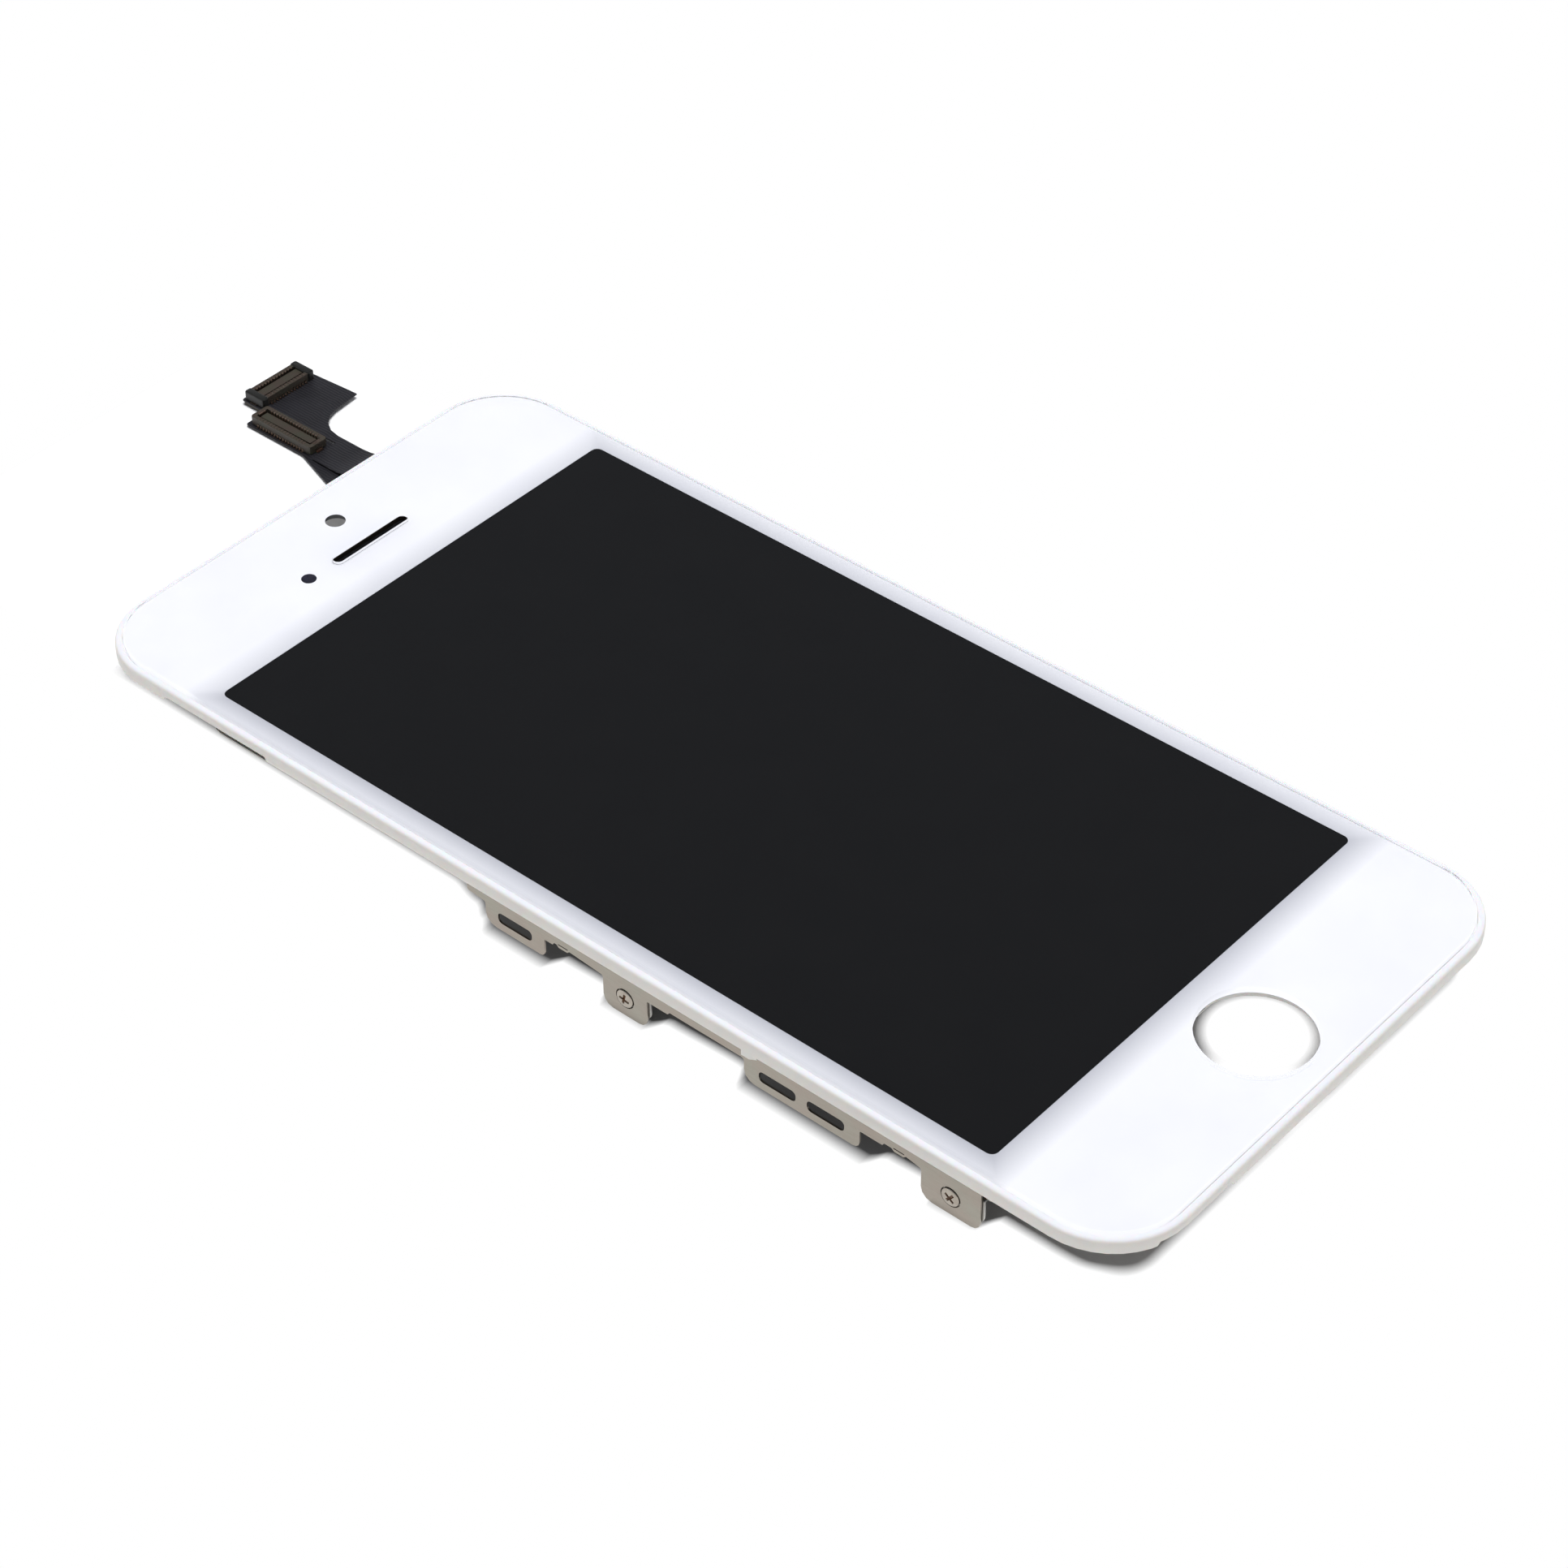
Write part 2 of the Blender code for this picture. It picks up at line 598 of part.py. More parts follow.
def build_glass(finishes):
    """Cover glass with its print, and the touch layer behind it."""
    home = disc(0, HOME_Y, HOME_RADIUS, hole=True)
    earpiece = stadium(0, EARPIECE_Y, EARPIECE_LENGTH, EARPIECE_WIDTH, hole=True)
    plate(
        "cover_glass",
        [glass_outline, home, earpiece],
        -GLASS_THICKNESS,
        0.0,
        finishes["cover_glass"],
        GLASS_EDGE_ROUND,
    )
    window = box(-WINDOW_X, -WINDOW_Y, WINDOW_X, WINDOW_Y, WINDOW_RADIUS, SMALL_STEPS)
    plate(
        "border_print",
        [
            lambda inset=0.0: glass_outline(PRINT_RELIEF),
            window,
            disc(0, HOME_Y, HOME_RADIUS + PRINT_RELIEF),
            stadium(0, EARPIECE_Y, EARPIECE_LENGTH + 2 * PRINT_RELIEF, EARPIECE_WIDTH + 2 * PRINT_RELIEF),
            disc(0, CAMERA_Y, CAMERA_RADIUS, PILOT_STEPS),
            disc(SENSOR_X, SENSOR_Y, SENSOR_RADIUS, PILOT_STEPS),
        ],
        PRINT_BOTTOM,
        PRINT_TOP,
        finishes["white_print"],
    )
    touch_x, touch_y = WINDOW_X + TOUCH_MARGIN, WINDOW_Y + TOUCH_MARGIN
    tail_end = WINDOW_Y + TOUCH_TAIL_RISE
    tail_left, tail_right = TOUCH_TAIL_X - TAIL_WIDTH / 2, TOUCH_TAIL_X + TAIL_WIDTH / 2
    corner = WINDOW_RADIUS
    sensor = filleted(
        [
            (touch_x, -touch_y, corner),
            (touch_x, touch_y, corner),
            (tail_right, touch_y, corner),
            (tail_right, tail_end, corner),
            (tail_left, tail_end, corner),
            (tail_left, touch_y, corner),
            (-touch_x, touch_y, corner),
            (-touch_x, -touch_y, corner),
        ]
    )
    plate("touch_sensor", [sensor], TOUCH_BOTTOM, TOUCH_TOP, finishes["clear_film"])


def build_cell(finishes):
    """LCD cell: optical adhesive, polarizers, the two glasses and the driver chip."""
    adhesive = panel(WINDOW_X + ADHESIVE_MARGIN, WINDOW_Y + ADHESIVE_MARGIN)
    polarizer = panel(WINDOW_X + POLARIZER_MARGIN, WINDOW_Y + POLARIZER_MARGIN)
    rear = panel(FILM_X - FILM_CLEARANCE, FILM_Y - FILM_CLEARANCE)
    array = box(-CELL_X, -CELL_Y, CELL_X, ARRAY_TOP_Y, 0.2 * MM, SMALL_STEPS)
    plate("optical_adhesive", [adhesive], OCA_BOTTOM, OCA_TOP, finishes["adhesive"])
    plate("front_polarizer", [polarizer], FRONT_POL_BOTTOM, FRONT_POL_TOP, finishes["dark_polarizer"])
    plate("colour_filter_glass", [panel(CELL_X, CELL_Y)], FILTER_BOTTOM, FILTER_TOP, finishes["cell_glass"])
    plate("array_glass", [array], ARRAY_BOTTOM, ARRAY_TOP, finishes["cell_glass"])
    plate("rear_polarizer", [rear], REAR_POL_BOTTOM, REAR_POL_TOP, finishes["dark_polarizer"])
    chip_y = CELL_Y + CHIP_SETBACK
    chip = box(-CHIP_LENGTH / 2, chip_y, CHIP_LENGTH / 2, chip_y + CHIP_WIDTH, 0.05 * MM, 2)
    chip_bottom = ARRAY_TOP + BOND_LINE
    plate("driver_chip", [chip], chip_bottom, chip_bottom + CHIP_HEIGHT, finishes["silicon"])


def build_backlight(finishes):
    """Film stack, light guide and lamps in their moulded tray and stamped can."""
    film = panel(FILM_X, FILM_Y)
    plate("upper_prism_film", [film], PRISM_1_BOTTOM, PRISM_1_TOP, finishes["clear_film"])
    plate("lower_prism_film", [film], PRISM_2_BOTTOM, PRISM_2_TOP, finishes["clear_film"])
    plate("diffuser_film", [film], DIFFUSER_BOTTOM, DIFFUSER_TOP, finishes["white_film"])
    lamp_near = FILM_Y - LED_WIDTH
    guide_end = lamp_near - FILM_CLEARANCE
    guide = box(-FILM_X, -FILM_Y, FILM_X, guide_end, 0.3 * MM, SMALL_STEPS)
    plate("light_guide", [guide], GUIDE_BOTTOM, GUIDE_TOP, finishes["light_guide"])
    strip_near = FILM_Y - LED_STRIP_WIDTH
    reflector = box(-FILM_X, -FILM_Y, FILM_X, strip_near - FILM_CLEARANCE, 0.3 * MM, SMALL_STEPS)
    plate("reflector_film", [reflector], REFLECTOR_BOTTOM, REFLECTOR_TOP, finishes["white_film"])
    strip_reach = LED_PITCH * LED_COUNT / 2
    strip = box(-strip_reach, strip_near, strip_reach, FILM_Y, 0.2 * MM, SMALL_STEPS)
    strip_top = REFLECTOR_TOP
    plate("led_flex", [strip], strip_top - LED_STRIP_THICKNESS, strip_top, finishes["black_flex"])
    for number in range(LED_COUNT):
        middle = LED_PITCH * (number - (LED_COUNT - 1) / 2)
        lamp = box(middle - LED_LENGTH / 2, lamp_near, middle + LED_LENGTH / 2, FILM_Y, 0.1 * MM, 2)
        plate(f"led_{number + 1}", [lamp], GUIDE_BOTTOM, GUIDE_TOP, finishes["led_body"])
    wall = [panel(TRAY_X, TRAY_Y, 0.6 * MM), panel(TRAY_INNER_X, TRAY_INNER_Y)]
    plate("backlight_frame", wall, REFLECTOR_BOTTOM, ARRAY_BOTTOM - BOND_LINE, finishes["tray_plastic"])
    can_top = ARRAY_BOTTOM - CAN_CLEARANCE
    outer, inner = panel(CAN_X, CAN_Y, 0.8 * MM), panel(CAN_INNER_X, CAN_INNER_Y, 0.65 * MM)
    loops = [
        (outer(CAN_THICKNESS / 2), CAN_BOTTOM),
        (outer(), CAN_BOTTOM + CAN_THICKNESS / 2),
        (outer(), can_top),
        (inner(), can_top),
        (inner(), CAN_FLOOR_TOP),
    ]
    lofted("backlight_can", loops, finishes["shield_steel"])


def rim_section():
    """The rim's section as (inset, height), from the foot of its outer wall round to its inner wall."""
    section = [(RIM_INNER_CHAMFER, RIM_BOTTOM), (0.0, RIM_BOTTOM + RIM_INNER_CHAMFER)]
    for step in range(SMALL_STEPS + 1):
        angle = math.pi / 2 * step / SMALL_STEPS
        drop = RIM_ROUND * (1 - math.sin(angle))
        section.append((RIM_ROUND * (1 - math.cos(angle)), RIM_CREST - drop))
    section += [
        (RIM_LIP - RIM_INNER_CHAMFER, RIM_CREST),
        (RIM_LIP, RIM_CREST - RIM_INNER_CHAMFER),
        (RIM_LIP, LEDGE_TOP),
        (LEDGE_INSET, LEDGE_TOP),
        (LEDGE_INSET, RIM_BOTTOM),
    ]
    return section


def step_cutter(name, start, end, side, along_x, material):
    """A tapered bar that lifts the rim's lower edge from start to end.

    The bar crosses the whole rim wall: at the side that side names, or across the home end.
    """
    low, high = RIM_BOTTOM - STEP_DEPTH, RIM_BOTTOM + STEP_DEPTH
    section = [(start - STEP_SLOPE, low), (end + STEP_SLOPE, low), (end, high), (start, high)]
    form = bmesh.new()
    loops = []
    for cross in (LEDGE_INSET + WEB_ROOT, -WEB_ROOT):
        if along_x:
            loops.append([form.verts.new((-x, RIM_BOTTOM_Y + cross, z)) for x, z in section])
        else:
            loops.append([form.verts.new((side * (RIM_X - cross), y, z)) for y, z in section])
    bridge(form, loops[0], loops[1])
    form.faces.new(loops[0])
    form.faces.new(loops[1])
    return new_object(name, form, material)


def tongue(name, side, material):
    """Thin tongue of the rim that laps over the bracket beside a latch tab."""
    outer = RIM_X
    inner = RIM_X - TONGUE_THICKNESS
    half = TONGUE_LENGTH / 2
    low, high = RIM_BOTTOM - TONGUE_DEPTH, RIM_BOTTOM + TONGUE_DEPTH
    section = [(half, high), (-half, high), (-half, low + half / 2), (0.0, low), (half, low)]
    form = bmesh.new()
    loops = [
        [form.verts.new((side * x, TONGUE_Y + y, z)) for y, z in section] for x in (inner, outer - BOND_LINE)
    ]
    bridge(form, loops[0], loops[1])
    form.faces.new(loops[0])
    form.faces.new(loops[1])
    return new_object(name, form, material)


def build_rim(finishes):
    """Moulded rim: stepped wall, glass ledge, end webs with seats, ribs and bosses."""
    plastic = finishes["rim_plastic"]
    loops = [(rim_outline(inset), height) for inset, height in rim_section()]
    rim = lofted("bezel_frame", loops, plastic, ring=True)
    reach = RIM_X - WEB_ROOT
    turned = RIM_RADIUS - WEB_ROOT
    square = WEB_ROOT
    mesh_opening = stadium(
        0,
        EARPIECE_Y,
        EARPIECE_LENGTH + 2 * MESH_OPENING_MARGIN,
        EARPIECE_WIDTH + 2 * MESH_OPENING_MARGIN,
        SMALL_STEPS,
    )
    slot_start = WINDOW_Y + TOUCH_TAIL_RISE - FLEX_BOND_LENGTH - FLEX_SLOT_MARGIN
    flex_slot = box(
        TOUCH_TAIL_X - TAIL_WIDTH / 2 - FLEX_SLOT_MARGIN,
        slot_start,
        TOUCH_TAIL_X + TAIL_WIDTH / 2 + FLEX_SLOT_MARGIN,
        slot_start + FLEX_SLOT_LENGTH,
        0.5 * MM,
        SMALL_STEPS,
    )
    camera_seat = CAMERA_RADIUS + CAMERA_BORE_GAP + CAMERA_HOLDER_WALL + SEAT_CLEARANCE
    sensor_seat = SENSOR_RADIUS + SENSOR_HOLDER_WALL + SEAT_CLEARANCE
    upper_web = plate(
        "upper_web",
        [
            box(-reach, OPENING_TOP_Y, reach, RIM_TOP_Y - WEB_ROOT, (turned, turned, square, square), 8),
            mesh_opening,
            flex_slot,
            disc(0, CAMERA_Y, camera_seat, PILOT_STEPS),
            disc(SENSOR_X, SENSOR_Y, sensor_seat, PILOT_STEPS),
        ],
        WEB_BOTTOM,
        WEB_TOP,
        plastic,
    )
    lower_web = plate(
        "lower_web",
        [
            box(-reach, RIM_BOTTOM_Y + WEB_ROOT, reach, OPENING_BOTTOM_Y, (square, square, turned, turned), 8),
            disc(0, HOME_Y, HOME_RADIUS + HOME_SEAT_GAP, 10),
        ],
        WEB_BOTTOM,
        WEB_TOP,
        plastic,
    )
    additions = [upper_web, lower_web]
    rib_root = WEB_BOTTOM + WEB_THICKNESS / 2
    rib_foot = WEB_BOTTOM - RIB_DEPTH
    upper_boss_y, lower_boss_y = RIM_TOP_Y - BOSS_END_INSET, RIM_BOTTOM_Y + BOSS_END_INSET
    for side, word in ((-1, "left"), (1, "right")):
        for boss_y, end in ((upper_boss_y, "upper"), (lower_boss_y, "lower")):
            near, far = sorted((side * (BOSS_X + BOSS_RADIUS / 2), side * RIB_END))
            rib = box(near, boss_y - RIB_WIDTH / 2, far, boss_y + RIB_WIDTH / 2, 0.2 * MM, 2)
            additions.append(plate(f"{end}_{word}_rib", [rib], rib_foot, rib_root, plastic))
            foot = WEB_BOTTOM - BOSS_DEPTH
            additions.append(
                round_pin(f"{end}_{word}_boss", side * BOSS_X, boss_y, BOSS_RADIUS, foot, rib_root, plastic)
            )
        near, far = sorted((side * RIB_START, side * (BOSS_X - BOSS_RADIUS / 2)))
        low_rib = box(near, lower_boss_y - RIB_WIDTH / 2, far, lower_boss_y + RIB_WIDTH / 2, 0.2 * MM, 2)
        additions.append(plate(f"inner_{word}_rib", [low_rib], rib_foot, rib_root, plastic))
        additions.append(tongue(f"{word}_tongue", side, plastic))
    combine(rim, "UNION", *additions)
    cutters = []
    for side, word in ((-1, "left"), (1, "right")):
        cutters.append(
            step_cutter(f"{word}_step", SIDE_STEP_START, SIDE_STEP_END, side, False, plastic)
        )
        for boss_y, end in ((upper_boss_y, "upper"), (lower_boss_y, "lower")):
            hole = INSERT_RADIUS + INSERT_CLEARANCE
            foot = WEB_BOTTOM - BOSS_DEPTH
            cutters.append(
                round_pin(
                    f"{end}_{word}_pilot",
                    side * BOSS_X,
                    boss_y,
                    hole,
                    foot - INSERT_LENGTH,
                    foot + INSERT_LENGTH + INSERT_CLEARANCE,
                    plastic,
                )
            )
    cutters.append(step_cutter("home_step", HOME_STEP_START, HOME_STEP_END, 0, True, plastic))
    notch = box(
        DISPLAY_TAIL_X - TAIL_WIDTH / 2 - FLEX_SLOT_MARGIN,
        OPENING_TOP_Y - OPENING_CLEARANCE - RIM_LIP,
        DISPLAY_TAIL_X + TAIL_WIDTH / 2 + FLEX_SLOT_MARGIN,
        OPENING_TOP_Y + DISPLAY_NOTCH_LENGTH,
        0.5 * MM,
        SMALL_STEPS,
    )
    cutters.append(plate("display_flex_notch", [notch], WEB_BOTTOM - WEB_ROOT, WEB_TOP + WEB_ROOT, plastic))
    combine(rim, "DIFFERENCE", *cutters)

    bead_out, bead_in = RIM_ADHESIVE_INSET, RIM_ADHESIVE_INSET + RIM_ADHESIVE_WIDTH
    bead = [lambda inset=0.0: glass_outline(bead_out), lambda inset=0.0: glass_outline(bead_in)]
    plate("rim_adhesive", bead, RIM_ADHESIVE_BOTTOM, RIM_ADHESIVE_TOP, finishes["adhesive"])
    number = 0
    for boss_y in (upper_boss_y, lower_boss_y):
        for side in (-1, 1):
            number += 1
            foot = WEB_BOTTOM - BOSS_DEPTH
            ring = [
                disc(side * BOSS_X, boss_y, INSERT_RADIUS, PILOT_STEPS),
                disc(side * BOSS_X, boss_y, INSERT_BORE, PILOT_STEPS),
            ]
            plate(f"brass_insert_{number}", ring, foot, foot + INSERT_LENGTH, finishes["insert_brass"])


def flanged_ring(name, x, y, bore, wall, depth, material):
    """A round holder with a flange seated on the web and a tube through it."""
    flange = bore + wall + SEAT_FLANGE
    steps = PILOT_STEPS
    levels = [(bore, SEAT_TOP), (flange, SEAT_TOP), (flange, SEAT_BOTTOM), (bore + wall, SEAT_BOTTOM)]
    levels += [(bore + wall, SEAT_TOP - depth), (bore, SEAT_TOP - depth)]
    return lofted(name, [(disc(x, y, reach, steps)(), z) for reach, z in levels], material, ring=True)


def build_seats(finishes):
    """Earpiece mesh, camera ring, and the sensor's dark window with its holder."""
    mesh = stadium(0, EARPIECE_Y, EARPIECE_LENGTH + 2 * MESH_MARGIN, EARPIECE_WIDTH + 2 * MESH_MARGIN)
    plate("earpiece_mesh", [mesh], SEAT_BOTTOM, SEAT_TOP, finishes["black_mesh"])
    flanged_ring(
        "camera_holder",
        0,
        CAMERA_Y,
        CAMERA_RADIUS + CAMERA_BORE_GAP,
        CAMERA_HOLDER_WALL,
        CAMERA_HOLDER_DEPTH,
        finishes["holder_plastic"],
    )
    flanged_ring(
        "sensor_holder",
        SENSOR_X,
        SENSOR_Y,
        SENSOR_RADIUS,
        SENSOR_HOLDER_WALL,
        SENSOR_HOLDER_DEPTH,
        finishes["holder_plastic"],
    )
    film_bottom = SEAT_TOP + BOND_LINE / 2
    film = disc(SENSOR_X, SENSOR_Y, SENSOR_RADIUS - BOND_LINE, PILOT_STEPS)
    plate("sensor_window", [film], film_bottom, film_bottom + PRINT_THICKNESS, finishes["sensor_film"])


def wall_station(z):
    """Blank length at which a bracket's wall is at height z."""
    return BRACKET_FLAT + BRACKET_BEND * math.pi / 2 + BRACKET_WALL_TOP - z


def lower_edge():
    """Corners of a bracket's lower edge as (y, blank length, radius), from its upper end down.

    Each tab drops from the strip to its foot and back. The strip is a step deeper for a short way
    past each tab, and a small rounded detent stands below it at two places.
    """
    strip = wall_station(-STRIP_DEPTH)
    stepped = strip + STRIP_STEP
    slope = STRIP_STEP / 2
    groups = []
    for tab in TABS:
        foot = wall_station(-tab.depth)
        shoulder = stepped if tab.slots == 0 else strip
        group = [
            (tab.start, shoulder, STRIP_STEP),
            (tab.start, foot, tab.first_corner),
            (tab.end, foot, tab.last_corner),
        ]
        if tab.end > BRACKET_BOTTOM_Y:
            run = LATCH_STEP_RUN if tab.slots == 1 else STEP_RUN
            group += [(tab.end, stepped, slope), (tab.end - run, stepped, slope)]
            group.append((tab.end - run - slope, strip, slope))
        groups.append(group)
    for y in DETENTS_Y:
        half, top = DETENT_LENGTH / 2, strip + DETENT_HEIGHT
        bend = DETENT_HEIGHT / 2
        ramp = DETENT_HEIGHT
        group = [(y + half, strip, bend), (y + half - ramp, top, bend), (y - half + ramp, top, bend)]
        groups.append(group + [(y - half, strip, bend)])
    groups.sort(key=lambda group: -group[0][0])
    return [corner for group in groups for corner in group]


def bracket_corners():
    """Corners of a bracket's blank: its flange edge, its upper end and its lower edge."""
    strip = wall_station(-STRIP_DEPTH)
    slope = STRIP_STEP / 2
    corners = [(0.0, BRACKET_BOTTOM_Y, 0.0), (0.0, BRACKET_TOP_Y, 0.0)]
    corners += [(strip - STRIP_STEP, BRACKET_TOP_Y, slope), (strip - slope, BRACKET_TOP_Y - slope, slope)]
    return corners + [(s, y, radius) for y, s, radius in lower_edge()]


def screw_sites():
    """Each side screw's name, side of the assembly and place along Y."""
    sites = []
    for side, word in ((-1, "left"), (1, "right")):
        for tab, end in zip(SCREW_TABS, ("upper", "lower")):
            sites.append((f"{word}_{end}", side, tab.centre))
    return sites


def build_brackets(finishes):
    """Folded side brackets: a flange under the rim, a strip down its side, and four tabs."""
    bend_end = BRACKET_FLAT + BRACKET_BEND * math.pi / 2
    stations = [("s", BRACKET_FLAT + BRACKET_BEND * math.pi / 2 * step / BEND_STEPS) for step in range(BEND_STEPS + 1)]
    hole_radius = SCREW_HEAD_RADIUS + SCREW_HEAD_CLEARANCE
    openings = []
    for tab in TABS:
        for number in range(tab.slots):
            pitch = SLOT_LENGTH + SLOT_BRIDGE
            middle = tab.centre + pitch * ((tab.slots - 1) / 2 - number)
            s = wall_station(-SLOT_DEPTH)
            half_s, half_y = SLOT_HEIGHT / 2, SLOT_LENGTH / 2
            openings.append(box(s - half_s, middle - half_y, s + half_s, middle + half_y, SLOT_RADIUS, SMALL_STEPS))
        if tab.slots == 0:
            openings.append(disc(wall_station(-SCREW_DEPTH), tab.centre, hole_radius, PILOT_STEPS))
    slit = wall_station(-STRIP_DEPTH) - DETENT_SLIT_WIDTH
    for y in DETENTS_Y:
        half = DETENT_SLIT_LENGTH / 2
        edges = (slit - DETENT_SLIT_WIDTH / 2, y - half, slit + DETENT_SLIT_WIDTH / 2, y + half)
        openings.append(box(*edges, DETENT_SLIT_WIDTH / 3, 1))
    outline = filleted(bracket_corners(), BEND_STEPS)
    for side, word in ((-1, "left"), (1, "right")):

        def place(s, y, depth, side=side):
            if s <= BRACKET_FLAT:
                return Vector((side * (OPENING_X + s), y, BRACKET_TOP - depth))
            if s >= bend_end:
                drop = s - bend_end
                return Vector((side * (BRACKET_X - depth), y, BRACKET_WALL_TOP - drop))
            angle = (s - BRACKET_FLAT) / BRACKET_BEND
            reach = BRACKET_BEND - depth
            x = BRACKET_X - BRACKET_BEND + reach * math.sin(angle)
            return Vector((side * x, y, BRACKET_WALL_TOP + reach * math.cos(angle)))

        folded(
            f"{word}_side_bracket",
            [outline, *openings],
            BRACKET_THICKNESS,
            stations,
            place,
            finishes["nickel_steel"],
        )


def shield_corners(ear_foot, edge_x):
    """Corners of the shield plate's blank, with an ear at each screw tab on both sides."""
    right = [(edge_x, SHIELD_BOTTOM_Y, SHIELD_CORNER)]
    for tab in reversed(SCREW_TABS):
        low, high = tab.end - EAR_OVERHANG, tab.start + EAR_OVERHANG
        low = max(low, SHIELD_BOTTOM_Y + EAR_OVERHANG)
        right += [
            (edge_x, low, 0.0),
            (ear_foot, low, EAR_CORNER),
            (ear_foot, high, EAR_CORNER),
            (edge_x, high, EAR_CORNER / 2),
        ]
    right.append((edge_x, SHIELD_TOP_Y, SHIELD_CORNER))
    left = [(-x, y, radius) for x, y, radius in reversed(right)]
    return right + left


def build_shield(finishes):
    """Shield plate with ears folded down inside the screw tabs, and the nuts swaged into them."""
    flat = EAR_X - SHIELD_BEND
    bend_end = flat + SHIELD_BEND * math.pi / 2
    wall_top = SHIELD_TOP - SHIELD_BEND

    def station(z):
        return bend_end + wall_top - z

    def place(s, y, depth):
        side = math.copysign(1.0, s)
        reach_s = abs(s)
        if reach_s <= flat:
            return Vector((s, y, SHIELD_TOP - depth))
        if reach_s >= bend_end:
            return Vector((side * (EAR_X - depth), y, wall_top - (reach_s - bend_end)))
        angle = (reach_s - flat) / SHIELD_BEND
        reach = SHIELD_BEND - depth
        x = EAR_X - SHIELD_BEND + reach * math.sin(angle)
        return Vector((side * x, y, wall_top + reach * math.cos(angle)))

    edge_x = flat - SHIELD_SIDE_INSET
    outline = filleted(shield_corners(station(-EAR_DEPTH), edge_x))
    hole_radius = SCREW_SHANK_RADIUS + SCREW_HOLE_CLEARANCE
    openings = []
    for side in (-1, 1):
        for tab in SCREW_TABS:
            openings.append(disc(side * station(-SCREW_DEPTH), tab.centre, hole_radius, PILOT_STEPS))
        for y in (SHIELD_TOP_Y - LOCATOR_INSET, SHIELD_BOTTOM_Y + LOCATOR_INSET):
            openings.append(disc(side * (edge_x - LOCATOR_INSET), y, LOCATOR_RADIUS, PILOT_STEPS))
    marks = [flat + SHIELD_BEND * math.pi / 2 * step / BEND_STEPS for step in range(BEND_STEPS + 1)]
    stations = [("s", sign * mark) for sign in (-1, 1) for mark in marks]
    folded("shield_plate", [outline, *openings], SHIELD_THICKNESS, stations, place, finishes["shield_steel"])


def screw_mesh(finishes):
    """Pan-head screw with a cross recess, its seat at the origin and its head up +Z."""
    profile = [(SCREW_SHANK_RADIUS * 0.7, -SCREW_LENGTH), (SCREW_SHANK_RADIUS, -SCREW_LENGTH * 0.9)]
    profile += [(SCREW_SHANK_RADIUS, 0.0), (SCREW_HEAD_RADIUS, 0.0)]
    for step in range(SMALL_STEPS):
        angle = math.pi / 2 * (0.1 + 0.75 * step / (SMALL_STEPS - 1))
        reach = SCREW_HEAD_RADIUS * math.cos(angle) ** 0.5
        profile.append((reach, SCREW_HEAD_HEIGHT - SCREW_DOME * (1 - math.sin(angle))))
    loops = [(disc(0, 0, reach, 6)(), height) for reach, height in profile]
    screw = lofted("side_screw", loops, finishes["screw_steel"])
    arms = []
    for number in range(2):
        half_long, half_wide = RECESS_LENGTH / 2, RECESS_WIDTH / 2
        floor, top = SCREW_HEAD_HEIGHT - RECESS_DEPTH, SCREW_HEAD_HEIGHT * 2
        rings = []
        for taper, height in ((0.6, floor), (1.0, SCREW_HEAD_HEIGHT), (1.0, top)):
            x, y = half_long * taper, half_wide * taper
            outline = [(x, y), (-x, y), (-x, -y), (x, -y)]
            if number:
                outline = [(-b, a) for a, b in outline]
            rings.append((outline, height))
        arms.append(lofted(f"recess_arm_{number + 1}", rings, finishes["screw_steel"]))
    combine(screw, "DIFFERENCE", *arms)
    return screw


def build_fasteners(finishes):
    """The four side screws and the nuts behind them."""
    pattern = screw_mesh(finishes)
    bpy.context.view_layer.update()
    graph = bpy.context.evaluated_depsgraph_get()
    shape = bpy.data.meshes.new_from_object(pattern.evaluated_get(graph))
    for modifier in list(pattern.modifiers):
        bpy.data.objects.remove(modifier.object)
    bpy.data.objects.remove(pattern)
    for name, side, y in screw_sites():
        screw = bpy.data.objects.new(f"{name}_screw", shape)
        bpy.context.scene.collection.objects.link(screw)
        screw.rotation_euler = (0.0, side * math.pi / 2, 0.0)
        screw.location = (side * (EAR_X + SCREW_SEAT_GAP), y, -SCREW_DEPTH)
        bore = SCREW_SHANK_RADIUS + NUT_CLEARANCE
        ring = [disc(0, 0, NUT_RADIUS, PILOT_STEPS), disc(0, 0, bore, PILOT_STEPS)]
        nut = plate(f"{name}_thread_boss", ring, 0.0, NUT_LENGTH, finishes["screw_steel"])
        nut.rotation_euler = (0.0, -side * math.pi / 2, 0.0)
        nut.location = (side * NUT_X, y, -SCREW_DEPTH)


def eased(y, start_y, start_z, end_y, end_z):
    """Height of a flex that runs flat, slopes down on a smooth S, and runs flat again."""
    along = min(max((y - start_y) / (end_y - start_y), 0.0), 1.0)
    return start_z + (end_z - start_z) * along * along * (3 - 2 * along)


def flex(name, corners, start, end, material):
    """A flexible circuit cut to its corners, which slopes from start to end, each (y, top height)."""
    span = end[0] - start[0]
    stations = [("y", start[0] + span * step / FLEX_STEPS) for step in range(FLEX_STEPS + 1)]

    def place(x, y, depth):
        return Vector((x, y, eased(y, *start, *end) - depth))

    return folded(name, [filleted(corners)], FLEX_THICKNESS, stations, place, material)


